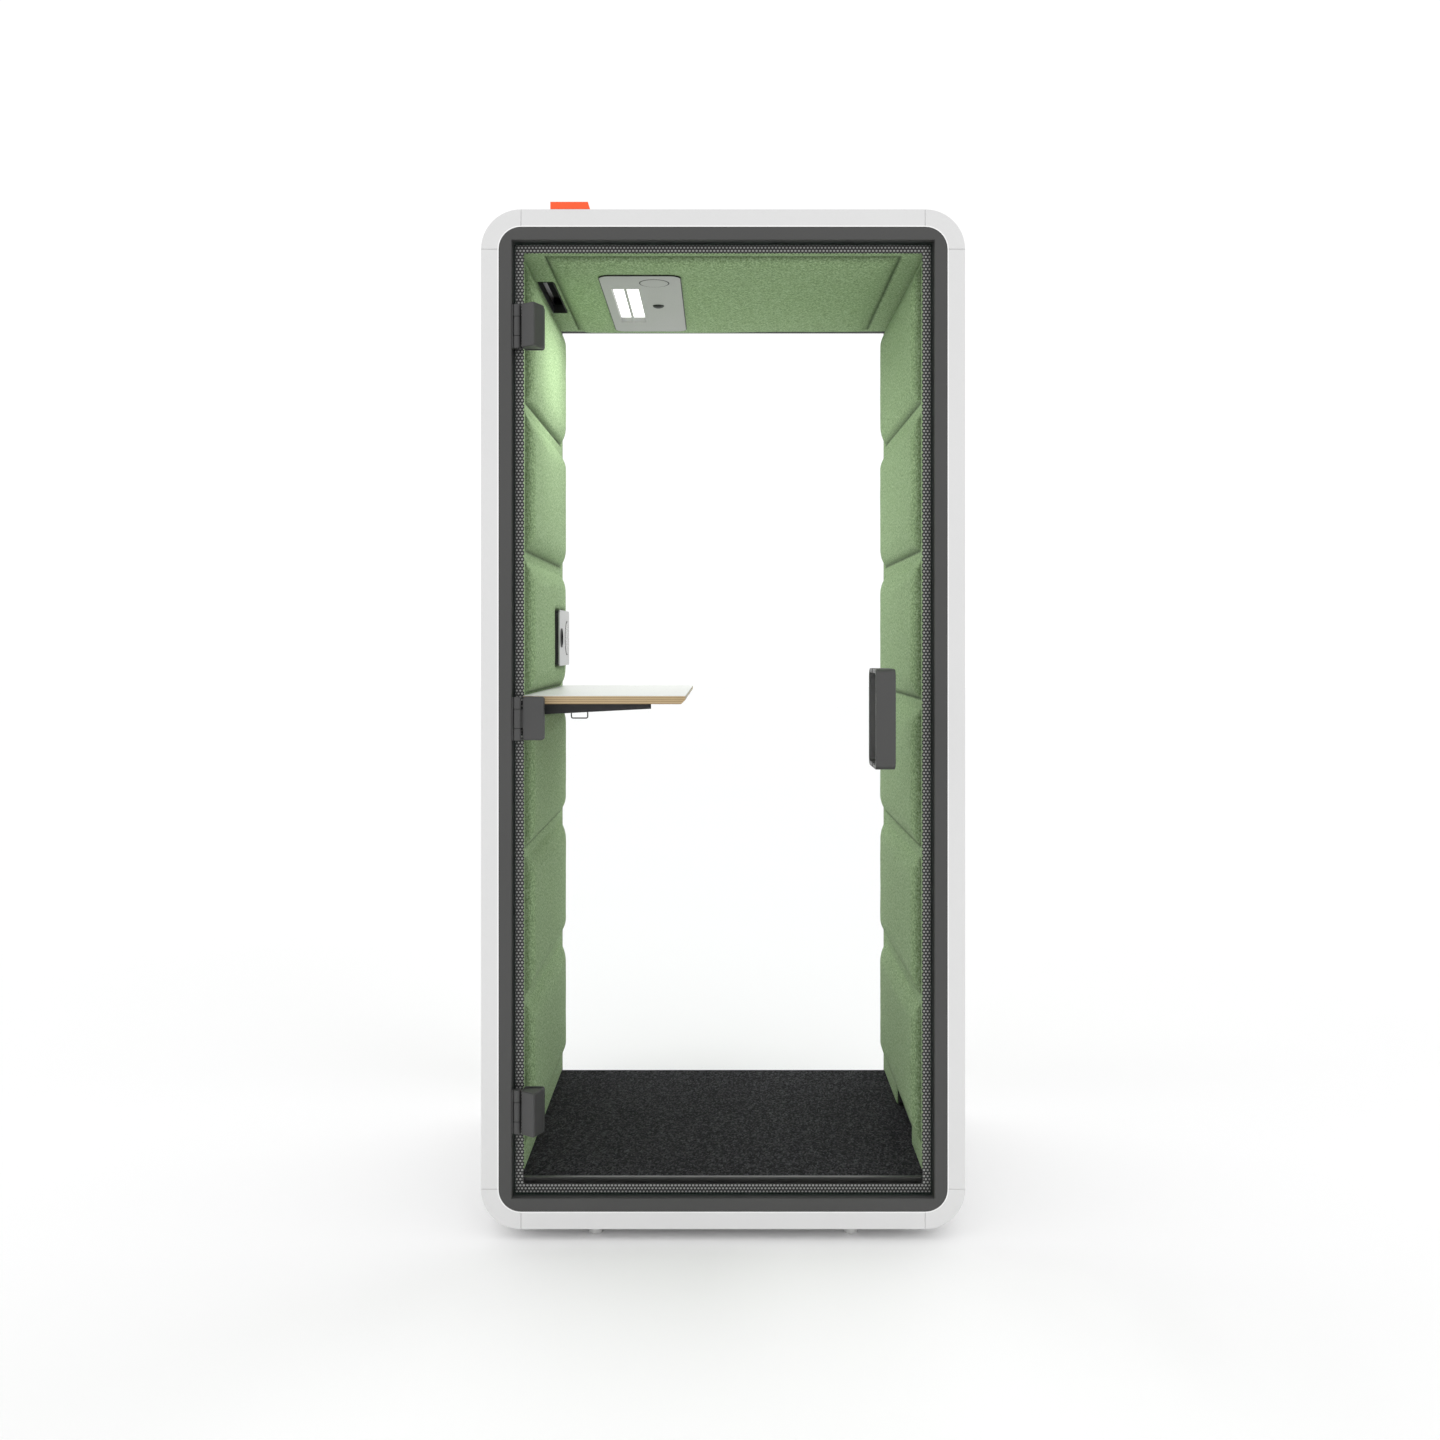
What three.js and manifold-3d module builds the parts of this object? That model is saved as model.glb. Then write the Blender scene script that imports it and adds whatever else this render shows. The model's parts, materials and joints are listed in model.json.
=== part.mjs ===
// Free-standing acoustic pod for one person: a rounded white shell, a glass door on three hinges, a fixed
// glass back, padded walls and ceiling, a shelf with brackets, a power module, ceiling lamp and ventilation.
// Millimetres, +Z up, the door faces -Y and the floor is Z = 0.
import * as THREE from "three";
import { mergeVertices } from "three/addons/utils/BufferGeometryUtils.js";
import Module from "manifold-3d";

const wasm = await Module();
wasm.setup();

// Clearances
const FIT = 0.3; // between a piece and its seat
const RUNNING = 0.4; // around a pin, stem or stud that passes through a hole
const KNUCKLE_GAP = 0.5; // around a barrel of knuckles
const KNUCKLE_SPLIT = 1.2; // between one knuckle and the next
const PANEL_SEAM = 0.6;
const OVERSHOOT = 1; // how far a cutting or joining piece runs past the face it meets

// Shell
const SHELL_WIDTH = 1090;
const SHELL_DEPTH = 900;
const SHELL_HEIGHT = 2296;
const SHELL_WALL = 39.5;
const CORNER_RADIUS = 90;
const EDGE_BEVEL = 1.5;
const FOOT_HEIGHT = 25;

// Front and rear frames, with the lip that the glass closes against
const FRAME_FACE = 29.2;
const FRAME_DEPTH = 46.7;
const LIP_WIDTH = 13;
const LIP_DEPTH = 16.5;
const GLASS_SETBACK = 16;
const GLASS_THICKNESS = 10;
const DOOR_GAP = 4;
const REAR_GLASS_GAP = 1.5;
const GLASS_CORNER = 4;
const SEAL_WIDTH = 6;
const SEAL_INSET = 1;
const SEAL_GAP = 1.8; // room for the edge of the glass as the door starts to swing
const GASKET_WIDTH = 10;
const BEAD_WIDTH = 12;
const BEAD_DEPTH = 12.7;

// Walls, ceiling and floor
const WALL_CORE = 24.2;
const PAD_BORDER = 22.7; // thickness of a pad at its flat border
const PAD_MARGIN = 50; // width of the flat border beside a crown
const PAD_ROWS = 6;
const PAD_FOOT = 48; // flat strip along the bottom of a wall pad
const CHANNEL_WIDTH = 27;
const CROWN_RISE = 17;
const CROWN_SHOULDER = 52;
const CROWN_CREST = 0.1; // least share of a row that stays at full height between its shoulders
const SHOULDER_STEPS = [0, 0.13, 0.45, 1];
const PAD_END_GAP = 3;
const CEILING_MARGIN_SIDE = 70;
const CEILING_MARGIN_END = 30;
const CEILING_CROWN = 15;
const FLOOR_HEIGHT = 53.2;
const FLOOR_CHAMFER = 33;
const CARPET_PILE = 6.1;
const THRESHOLD_FLANGE = 10;
const THRESHOLD_LEG = 3.2;
const THRESHOLD_SHEET = 1.6;

// Door hinges
const HINGE_HEIGHT = 98;
const HINGE_DROP = 194; // centre of the top hinge below the door opening's top
const HINGE_RAISE = 195; // centre of the bottom hinge above the opening's bottom
const MIDDLE_HINGE_RAISE = 1080;
const KNUCKLE_RADIUS = 9;
const PIN_RADIUS = 3;
const CENTRE_KNUCKLE = 42.2;
const JAMB_LEAF = 2;
const JAMB_LEAF_REACH = 22;
const LEAF_WEB = 5;
const LEAF_GAP = 2.3; // from the knuckles to the door plate
const LEAF_WIDTH = 48;
const LEAF_PLATE = 6;
const CLAMP_PLATE = 4;
const COVER_NEAR_RISE = 20;
const COVER_RIDGE_RISE = 42;
const COVER_RIDGE_SHARE = 29; // from the cover's hinge edge to its ridge
const COVER_FOOT_RISE = 4;
const HINGE_STUD_RADIUS = 5;
const HINGE_STUD_PITCH = 60;

// Pull handles
const HANDLE_WIDTH = 44;
const HANDLE_LENGTH = 224;
const HANDLE_PROJECTION = 71.7;
const HANDLE_BAR = 10;
const HANDLE_BEND = 20;
const HANDLE_BEVEL = 2;
const HANDLE_STUD_RADIUS = 3.5;
const HANDLE_EDGE = 112; // from the door's free edge to the handle's centre
const HANDLE_RAISE = 1081; // handle centre above the door opening's bottom

// Shelf, brackets and bag hook
const SHELF_RAISE = 1100; // shelf top above the carpet
const SHELF_BOARD = 18;
const SHELF_LAMINATE = 1.2;
const SHELF_REACH = 372;
const SHELF_BEVEL = 10;
const SHELF_END_GAP = 1;
const BRACKET_REACH = 290;
const BRACKET_ROOT = 28;
const BRACKET_TIP = 13;
const BRACKET_THICKNESS = 6;
const BRACKET_FLANGE = 4;
const BRACKET_FLANGE_WIDTH = 40;
const BRACKET_SETBACK = 60; // from the shelf's end
const SHELF_PAD_CLEARANCE = 4;
const HOOK_WIRE = 1.5; // radius
const HOOK_WIDTH = 38;
const HOOK_DROP = 12;
const HOOK_REACH = 105; // from the wall to the hook's near leg

// Power module on the left wall
const MODULE_WIDTH = 230;
const MODULE_HEIGHT = 147;
const MODULE_PLATE = 3;
const MODULE_STAND_OFF = 30; // plate face in front of the pad's border
const MODULE_CORNER = 12;
const MODULE_BOX_INSET = 3;
const MODULE_RAISE = 134; // module centre above the shelf
const MODULE_OFFSET = 181; // module centre behind the cabin's middle
const SOCKET_OFFSET = -71;
const SOCKET_RADIUS = 23.5;
const SOCKET_RIM = 1.5;
const SOCKET_RIM_WIDTH = 2;
const SOCKET_WELL_RADIUS = 19.5;
const SOCKET_WELL_DEPTH = 14;
const SOCKET_BODY_DEPTH = 24;
const SOCKET_PIN_RADIUS = 2.6;
const SOCKET_PIN_PITCH = 19;
const SOCKET_PIN_DEPTH = 6;
const SOCKET_PIN_SIDES = 12;
const CHARGER_OFFSET = 55;
const CHARGER_RADIUS = 44;
const CHARGER_RISE = 1;
const CHARGER_RING = 2.5;

// Ceiling service plate with lamp, round cover and motion sensor
const PLATE_WIDTH = 194;
const PLATE_LENGTH = 585;
const PLATE_SHEET = 3;
const PLATE_CORNER = 25;
const PLATE_FROM_WALL = 258; // plate centre from the left pad's border
const PLATE_OFFSET_Y = 19.5;
const LAMP_WIDTH = 67;
const LAMP_LENGTH = 353;
const LAMP_BAR = 6;
const LAMP_ASIDE = 41.7; // lamp centre to the left of the plate's centre
const LAMP_ALONG = 4; // lamp centre behind the plate's centre
const LAMP_RECESS = 10;
const LAMP_DIFFUSER = 3;
const TRAY_WALL = 2;
const TRAY_HEIGHT = 22;
const COVER_RADIUS = 34;
const COVER_PROUD = 0.8;
const COLUMN_ASIDE = 33; // round cover and sensor, to the right of the plate's centre
const COVER_AHEAD = 229.5; // round cover in front of the plate's centre
const SENSOR_AHEAD = 2.5;
const SENSOR_RADIUS = 15;
const DOME_STEPS = [0, 0.33, 0.67, 1];
const SENSOR_DOME = 6;

// Ventilation
const VENT_WIDTH = 39;
const VENT_LENGTH = 320;
const VENT_OFFSET_Y = 13;
const DUCT_WALL = 1.5;
const PLENUM_WIDTH = 150;
const PLENUM_HEIGHT = 18;
const FAN_SIZE = 119;
const FAN_DEPTH = 25;
const FAN_POCKET_GAP = 5.5;
const FAN_POCKET_ROOF = 9.5;
const FAN_CORNER = 6;
const FAN_BORE = 55;
const FAN_SIDES = 40;
const FAN_HUB = 19;
const FAN_MOTOR_DEPTH = 6;
const FAN_STRUT = 5;
const FAN_SHAFT = 3;
const FAN_BLADES = 7;
const FAN_BLADE_REACH = 52;
const FAN_BLADE_THICKNESS = 1.6;
const FAN_BLADE_CHORD = 20;
const FAN_BLADE_PITCH = 38; // degrees
const FAN_ROTOR_DEPTH = 15;
const FAN_ASIDE = 68.5; // fan centre to the right of the vent slot
const GRILLE_SIZE = 150;
const GRILLE_SHEET = 3;
const GRILLE_MARGIN = 14;
const GRILLE_SLOTS = 8;
const GRILLE_SLOT_SHARE = 0.6;
const INTAKE_LENGTH = 291;
const INTAKE_HEIGHT = 52;
const INTAKE_OFFSET_Y = -49.5;
const INTAKE_PLATE = 5;
const INTAKE_MARGIN = 6;
const INTAKE_ROWS = 4;
const INTAKE_BAYS = 3;
const INTAKE_BAR = 4;
const INTAKE_POCKET = 14;

// Feet and roof status lamp
const FOOT_RADIUS = 17;
const FOOT_PAD = 16;
const FOOT_NECK = 4.5;
const FOOT_CHAMFER = 1.5;
const FOOT_STEM_RADIUS = 6;
const FOOT_STEM_LENGTH = 34;
const FOOT_SPACING_X = 582;
const FOOT_SETBACK = 52;
const STATUS_WIDTH = 90;
const STATUS_DEPTH = 70;
const STATUS_HEIGHT = 17.5;
const STATUS_BASE = 2.6;
const STATUS_BASE_MARGIN = 1.5;
const STATUS_CORNER = 14;
const STATUS_SLOPE = 5; // how far the right side leans in
const STATUS_ASIDE = 199.5; // lamp centre from the shell's left side
const STATUS_SETBACK = 12;

// Planes and edges that follow from the driving dimensions
const halfWidth = SHELL_WIDTH / 2;
const frontY = -SHELL_DEPTH / 2;
const backY = SHELL_DEPTH / 2;
const shellBottom = FOOT_HEIGHT;
const shellTop = FOOT_HEIGHT + SHELL_HEIGHT;
const flatHalfWidth = halfWidth - CORNER_RADIUS; // where the straight panels end
const cavityHalfWidth = halfWidth - SHELL_WALL;
const cavityBottom = shellBottom + SHELL_WALL;
const cavityTop = shellTop - SHELL_WALL;
const frameBounds = insetBounds(
  { half: cavityHalfWidth, low: cavityBottom, high: cavityTop },
  FIT,
);
const openBounds = insetBounds(frameBounds, FRAME_FACE);
const lipBounds = insetBounds(openBounds, LIP_WIDTH);
const cabinFrontY = frontY + FRAME_DEPTH;
const cabinHalfDepth = -cabinFrontY - FIT;
const lipFrontY = cabinFrontY - LIP_DEPTH;
const glassFrontY = frontY + GLASS_SETBACK;
const glassBackY = glassFrontY + GLASS_THICKNESS;
const glassBounds = insetBounds(openBounds, DOOR_GAP);
const coreFaceX = cavityHalfWidth - FIT - WALL_CORE;
const padBackX = coreFaceX - FIT;
const padFaceX = padBackX - PAD_BORDER;
const floorTop = cavityBottom + FIT + FLOOR_HEIGHT;
const carpetTop = floorTop + FIT + CARPET_PILE;
const ceilingBoardBottom = cavityTop - FIT - WALL_CORE;
const ceilingPadBack = ceilingBoardBottom - FIT;
const ceilingFace = ceilingPadBack - PAD_BORDER;
const padBottom = carpetTop + FIT * 2;
const padTop = ceilingFace - PAD_END_GAP;
const shelfTop = carpetTop + SHELF_RAISE;
const shelfBoardTop = shelfTop - SHELF_LAMINATE - FIT;
const shelfUnderside = shelfBoardTop - SHELF_BOARD;
const bracketTop = shelfUnderside - FIT;
const hingeX = -openBounds.half + FIT + JAMB_LEAF + KNUCKLE_GAP + KNUCKLE_RADIUS;
const hingeY = glassFrontY - KNUCKLE_GAP - KNUCKLE_RADIUS;
const leafX = hingeX + KNUCKLE_RADIUS + LEAF_GAP;
const hingeHeights = {
  top: openBounds.high - HINGE_DROP,
  middle: openBounds.low + MIDDLE_HINGE_RAISE,
  bottom: openBounds.low + HINGE_RAISE,
};
const handleX = glassBounds.half - HANDLE_EDGE;
const handleZ = openBounds.low + HANDLE_RAISE;
const handleFrontY = glassFrontY - FIT - HANDLE_PROJECTION;
const moduleZ = shelfTop + MODULE_RAISE;
const moduleFaceX = -(padFaceX - MODULE_STAND_OFF);
const moduleBoxFaceX = moduleFaceX - MODULE_PLATE - FIT;
const plateTop = ceilingFace - CEILING_CROWN - FIT;
const plateFace = plateTop - PLATE_SHEET;
const plateX = -padFaceX + PLATE_FROM_WALL;
const lampX = plateX - LAMP_ASIDE;
const lampY = PLATE_OFFSET_Y + LAMP_ALONG;
const columnX = plateX + COLUMN_ASIDE;
const coverY = PLATE_OFFSET_Y - COVER_AHEAD;
const sensorY = PLATE_OFFSET_Y - SENSOR_AHEAD;
const fanPocketTop = shellTop - FAN_POCKET_ROOF;
const fanTop = fanPocketTop - FIT;
const fanY = VENT_OFFSET_Y;
const ventX = -(padFaceX - VENT_WIDTH / 2);
const fanX = ventX + FAN_ASIDE;
const bracketY = cabinHalfDepth - SHELF_END_GAP - BRACKET_SETBACK;

// Finishes, as colour, roughness and metalness
const FINISHES = {
  whiteLacquer: { color: 0xe3e3e3, roughness: 0.45, metalness: 0 },
  darkGrey: { color: 0x555554, roughness: 0.5, metalness: 0.2 },
  darkSteel: { color: 0x4a4a4a, roughness: 0.35, metalness: 0.7 },
  glass: { color: 0xf2f6f5, roughness: 0.03, metalness: 0, transparent: true, opacity: 0.2 },
  blackRubber: { color: 0x141414, roughness: 0.8, metalness: 0 },
  core: { color: 0x8a8378, roughness: 0.95, metalness: 0 },
  greenFabric: { color: 0x93ab83, roughness: 0.95, metalness: 0 },
  carpet: { color: 0x2c2c2e, roughness: 1, metalness: 0 },
  aluminium: { color: 0xb8b8b6, roughness: 0.35, metalness: 0.9 },
  greyPlate: { color: 0xa3a3a1, roughness: 0.5, metalness: 0.3 },
  lampWhite: { color: 0xfafafa, roughness: 0.4, metalness: 0, emissive: 0xffffff },
  blackPlastic: { color: 0x171717, roughness: 0.55, metalness: 0 },
  whitePlastic: { color: 0xededed, roughness: 0.3, metalness: 0 },
  plywood: { color: 0xc4a876, roughness: 0.6, metalness: 0 },
  laminate: { color: 0xf1f1f0, roughness: 0.4, metalness: 0 },
  blackSteel: { color: 0x1b1b1c, roughness: 0.5, metalness: 0.4 },
  orangeLens: { color: 0xff7a45, roughness: 0.3, metalness: 0, emissive: 0xff5a20 },
  zinc: { color: 0xc9c9c6, roughness: 0.35, metalness: 0.8 },
};

// Ends of an extrusion: eased by a small bevel, with finer arcs where the radius is large
const EASED = { bevel: EDGE_BEVEL };
const SMOOTH = { bevel: EDGE_BEVEL, arcSteps: 6 };

const ROUND_SIDES = 36; // of a large round hole or disc

const WORLD_X = new THREE.Vector3(1, 0, 0);
const WORLD_Y = new THREE.Vector3(0, 1, 0);
const WORLD_Z = new THREE.Vector3(0, 0, 1);

// A rectangle in XZ, centred on X = 0, moved inwards on all four sides.
function insetBounds(bounds, by) {
  return { half: bounds.half - by, low: bounds.low + by, high: bounds.high - by };
}

// Shapes

function rectangle(x0, y0, x1, y1, radius = 0) {
  const shape = new THREE.Shape();
  if (radius === 0) {
    shape.moveTo(x0, y0).lineTo(x1, y0).lineTo(x1, y1).lineTo(x0, y1);
    return shape;
  }
  shape.moveTo(x0 + radius, y0).lineTo(x1 - radius, y0);
  shape.absarc(x1 - radius, y0 + radius, radius, -Math.PI / 2, 0);
  shape.lineTo(x1, y1 - radius).absarc(x1 - radius, y1 - radius, radius, 0, Math.PI / 2);
  shape.lineTo(x0 + radius, y1).absarc(x0 + radius, y1 - radius, radius, Math.PI / 2, Math.PI);
  shape.lineTo(x0, y0 + radius).absarc(x0 + radius, y0 + radius, radius, Math.PI, 1.5 * Math.PI);
  return shape;
}

function centredRectangle(x, y, width, height, radius = 0) {
  return rectangle(x - width / 2, y - height / 2, x + width / 2, y + height / 2, radius);
}

function boundsShape(bounds, radius = 0) {
  return rectangle(-bounds.half, bounds.low, bounds.half, bounds.high, radius);
}

function polygon(points) {
  return new THREE.Shape(points.map(([x, y]) => new THREE.Vector2(x, y)));
}

function circle(x, y, radius, sides = ROUND_SIDES) {
  const points = Array.from({ length: sides }, (_, i) => {
    const angle = (i * 2 * Math.PI) / sides;
    return [x + radius * Math.cos(angle), y + radius * Math.sin(angle)];
  });
  return polygon(points);
}

function ring(outer, inner) {
  outer.holes.push(inner);
  return outer;
}

// Geometry

// Turns local X, Y and Z to the given directions, then moves the local origin to a place.
function orient(geometry, xAxis, yAxis, zAxis, place = new THREE.Vector3()) {
  return geometry.applyMatrix4(new THREE.Matrix4().makeBasis(xAxis, yAxis, zAxis).setPosition(place));
}

// Extrudes along local Z. The bevel eases both ends, and arcSteps is half the number of sides of each arc.
function extrudeLocal(shape, depth, { bevel = 0, bevelSegments = 1, arcSteps = 3 } = {}) {
  const geometry = new THREE.ExtrudeGeometry(shape, {
    depth: depth - 2 * bevel,
    bevelEnabled: bevel > 0,
    bevelThickness: bevel,
    bevelSize: bevel,
    bevelOffset: -bevel,
    bevelSegments,
    curveSegments: arcSteps,
  });
  return geometry.translate(0, 0, bevel);
}

function extrudeX(shapeYZ, x0, x1, options) {
  const geometry = extrudeLocal(shapeYZ, x1 - x0, options);
  return orient(geometry, WORLD_Y, WORLD_Z, WORLD_X, new THREE.Vector3(x0, 0, 0));
}

function extrudeY(shapeXZ, y0, y1, options) {
  const geometry = extrudeLocal(shapeXZ, y1 - y0, options);
  return orient(geometry, WORLD_X, WORLD_Z, WORLD_Y.clone().negate(), new THREE.Vector3(0, y1, 0));
}

function extrudeZ(shapeXY, z0, z1, options) {
  return extrudeLocal(shapeXY, z1 - z0, options).translate(0, 0, z0);
}

function block(x0, x1, y0, y1, z0, z1) {
  const geometry = new THREE.BoxGeometry(x1 - x0, y1 - y0, z1 - z0);
  return geometry.translate((x0 + x1) / 2, (y0 + y1) / 2, (z0 + z1) / 2);
}

function rodZ(x, y, radius, z0, z1, sides = 20) {
  const geometry = new THREE.CylinderGeometry(radius, radius, z1 - z0, sides);
  return geometry.rotateX(Math.PI / 2).translate(x, y, (z0 + z1) / 2);
}

function rodY(x, z, radius, y0, y1, sides = 12) {
  const geometry = new THREE.CylinderGeometry(radius, radius, y1 - y0, sides);
  return geometry.translate(x, (y0 + y1) / 2, z);
}

function rodX(y, z, radius, x0, x1, sides = 28) {
  const geometry = new THREE.CylinderGeometry(radius, radius, x1 - x0, sides);
  return geometry.rotateZ(Math.PI / 2).translate((x0 + x1) / 2, y, z);
}

// A revolved piece whose profile is given as [radius, height] pairs about local Z.
function revolve(profile, sides = 20) {
  const points = profile.map(([radius, height]) => new THREE.Vector2(radius, height));
  return new THREE.LatheGeometry(points, sides).rotateX(Math.PI / 2);
}

function toSolid(geometry) {
  const bare = geometry.clone();
  bare.deleteAttribute("normal");
  bare.deleteAttribute("uv");
  const merged = mergeVertices(bare, 1e-4);
  const vertProperties = new Float32Array(merged.attributes.position.array);
  const triVerts = new Uint32Array(merged.index.array);
  return new wasm.Manifold(new wasm.Mesh({ numProp: 3, vertProperties, triVerts }));
}

function fromSolid(solid) {
  const mesh = solid.getMesh();
  const geometry = new THREE.BufferGeometry();
  geometry.setAttribute("position", new THREE.BufferAttribute(mesh.vertProperties, 3));
  geometry.setIndex(new THREE.BufferAttribute(mesh.triVerts, 1));
  const faceted = geometry.toNonIndexed();
  faceted.computeVertexNormals();
  return faceted;
}

function join(...geometries) {
  return fromSolid(geometries.map(toSolid).reduce((sum, solid) => sum.add(solid)));
}

function cut(body, ...tools) {
  return fromSolid(tools.map(toSolid).reduce((rest, tool) => rest.subtract(tool), toSolid(body)));
}

function addMesh(group, name, geometry, finish) {
  const mesh = new THREE.Mesh(geometry, new THREE.MeshStandardMaterial(finish));
  mesh.name = name;
  group.add(mesh);
  return mesh;
}

// Crowned pads

// The shoulder beside a crease, shortened where two creases are close.
function shoulderOf([low, high]) {
  return Math.min(CROWN_SHOULDER, ((high - low) * (1 - CROWN_CREST)) / 2);
}

// Share of the full crown at one place across the crowned bands: 0 in a channel, 1 past the shoulder.
function crownShare(value, bands) {
  const band = bands.find(([low, high]) => value >= low && value <= high);
  if (!band) return 0;
  const fromCrease = Math.min(value - band[0], band[1] - value);
  const t = Math.min(fromCrease / shoulderOf(band), 1);
  return Math.sqrt(1 - (1 - t) ** 2);
}

// Grid lines for a pad: its two ends, and steps up both shoulders of every crowned band.
function padStations(low, high, bands) {
  const rows = bands.flatMap((band) => {
    const reach = shoulderOf(band);
    const rising = SHOULDER_STEPS.map((step) => band[0] + step * reach);
    const falling = SHOULDER_STEPS.map((step) => band[1] - step * reach).reverse();
    return [...rising, ...falling];
  });
  return [low, ...rows, high];
}

// A slab in local XY with a flat back at Z = 0, crowned towards +Z between its channels.
function crownedSlab(stationsX, stationsY, bandsX, bandsY, crown) {
  const countX = stationsX.length - 1;
  const countY = stationsY.length - 1;
  const geometry = new THREE.BoxGeometry(1, 1, 1, countX, countY, 1);
  const position = geometry.attributes.position;
  for (let i = 0; i < position.count; i++) {
    const x = stationsX[Math.round((position.getX(i) + 0.5) * countX)];
    const y = stationsY[Math.round((position.getY(i) + 0.5) * countY)];
    const swell = crown * crownShare(x, bandsX) * crownShare(y, bandsY);
    position.setXYZ(i, x, y, position.getZ(i) > 0 ? PAD_BORDER + swell : 0);
  }
  return geometry;
}

// The crowned rows of a wall pad, as [low, high] heights, kept out of the bands that must stay flat.
function wallRows(flatBands) {
  const pitch = (padTop - padBottom - PAD_FOOT) / PAD_ROWS;
  const seams = Array.from({ length: PAD_ROWS + 1 }, (_, i) => padBottom + PAD_FOOT + i * pitch);
  const channels = seams.map((z) => [z - CHANNEL_WIDTH / 2, z + CHANNEL_WIDTH / 2]);
  const flats = [...channels, ...flatBands].sort((a, b) => a[0] - b[0]);
  const rows = [];
  let low = flats[0][1];
  for (const [start, end] of flats.slice(1)) {
    if (start > low) rows.push([low, start]);
    low = Math.max(low, end);
  }
  return rows;
}

function wallPad(side, flatBands) {
  const acrossBands = [[PAD_MARGIN - cabinHalfDepth, cabinHalfDepth - PAD_MARGIN]];
  const rowBands = wallRows(flatBands);
  const across = padStations(-cabinHalfDepth, cabinHalfDepth, acrossBands);
  const up = padStations(padBottom, padTop, rowBands);
  const slab = crownedSlab(across, up, acrossBands, rowBands, CROWN_RISE);
  const inwards = WORLD_X.clone().multiplyScalar(-side);
  const along = WORLD_Y.clone().multiplyScalar(-side);
  return orient(slab, along, WORLD_Z, inwards, new THREE.Vector3(side * padBackX, 0, 0));
}

// Shell

function roofPanel() {
  const half = flatHalfWidth - PANEL_SEAM / 2;
  const panel = extrudeY(rectangle(-half, cavityTop, half, shellTop), frontY, backY, EASED);
  const pocket = FAN_SIZE / 2 + FAN_POCKET_GAP;
  const recess = GRILLE_SIZE / 2;
  const low = cavityTop - OVERSHOOT;
  return cut(
    panel,
    block(fanX - pocket, fanX + pocket, fanY - pocket, fanY + pocket, low, fanPocketTop),
    rodZ(fanX, fanY, FAN_BORE, fanPocketTop - OVERSHOOT, shellTop + OVERSHOOT, FAN_SIDES),
    block(
      fanX - recess,
      fanX + recess,
      fanY - recess,
      fanY + recess,
      shellTop - GRILLE_SHEET,
      shellTop + OVERSHOOT,
    ),
  );
}

function footPlaces() {
  const x = FOOT_SPACING_X / 2;
  const y = backY - FOOT_SETBACK;
  return { front_left: [-x, -y], front_right: [x, -y], rear_left: [-x, y], rear_right: [x, y] };
}

function bottomPanel() {
  const half = flatHalfWidth - PANEL_SEAM / 2;
  const panel = extrudeY(rectangle(-half, shellBottom, half, cavityBottom), frontY, backY, EASED);
  const bores = Object.values(footPlaces()).map(([x, y]) =>
    rodZ(x, y, FOOT_STEM_RADIUS + RUNNING, shellBottom - OVERSHOOT, cavityBottom + OVERSHOOT),
  );
  return cut(panel, ...bores);
}

function sidePanel(side) {
  const low = shellBottom + CORNER_RADIUS + PANEL_SEAM / 2;
  const high = shellTop - CORNER_RADIUS - PANEL_SEAM / 2;
  const [x0, x1] = [side * halfWidth, side * cavityHalfWidth].sort((a, b) => a - b);
  return extrudeY(rectangle(x0, low, x1, high), frontY, backY, EASED);
}

// One quarter-round profile, made for the top right corner about its own centre.
function cornerProfile() {
  const shape = new THREE.Shape();
  shape.absarc(0, 0, CORNER_RADIUS, 0, Math.PI / 2);
  shape.absarc(0, 0, CORNER_RADIUS - SHELL_WALL, Math.PI / 2, 0, true);
  return extrudeY(shape, frontY, backY, SMOOTH);
}

function addShell(pod) {
  const shell = new THREE.Group();
  addMesh(shell, "roof_panel", roofPanel(), FINISHES.whiteLacquer);
  addMesh(shell, "bottom_panel", bottomPanel(), FINISHES.whiteLacquer);
  addMesh(shell, "left_side_panel", sidePanel(-1), FINISHES.whiteLacquer);
  addMesh(shell, "right_side_panel", sidePanel(1), FINISHES.whiteLacquer);
  const corners = ["top_right", "bottom_right", "bottom_left", "top_left"];
  corners.forEach((corner, quarter) => {
    const mesh = addMesh(shell, `${corner}_corner_profile`, cornerProfile(), FINISHES.whiteLacquer);
    const up = corner.startsWith("top") ? shellTop - CORNER_RADIUS : shellBottom + CORNER_RADIUS;
    mesh.position.set(corner.endsWith("right") ? flatHalfWidth : -flatHalfWidth, 0, up);
    mesh.rotation.y = (quarter * Math.PI) / 2;
  });
  pod.add(shell);
}

// Frames and fixed glass

// A frame with a lip behind the glass, made for the front of the pod.
function glazingFrame() {
  const radius = CORNER_RADIUS - SHELL_WALL - FIT;
  const face = ring(boundsShape(frameBounds, radius), boundsShape(openBounds));
  const lip = ring(boundsShape(insetBounds(openBounds, -FRAME_FACE / 2)), boundsShape(lipBounds));
  return join(extrudeY(face, frontY, cabinFrontY, SMOOTH), extrudeY(lip, lipFrontY, cabinFrontY));
}

function boundsRing(bounds, width, y0, y1) {
  return extrudeY(ring(boundsShape(bounds), boundsShape(insetBounds(bounds, width))), y0, y1);
}

function doorSeal() {
  const outer = insetBounds(lipBounds, -SEAL_INSET - SEAL_WIDTH);
  return boundsRing(outer, SEAL_WIDTH, glassBackY + SEAL_GAP, lipFrontY - FIT);
}

function rearGlass() {
  const pane = boundsShape(insetBounds(openBounds, REAR_GLASS_GAP), GLASS_CORNER);
  return extrudeY(pane, -glassBackY, -glassFrontY, EASED);
}

function rearGasket() {
  const outer = insetBounds(lipBounds, -SEAL_INSET - GASKET_WIDTH);
  return boundsRing(outer, GASKET_WIDTH, -lipFrontY + FIT, -glassBackY - FIT);
}

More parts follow.
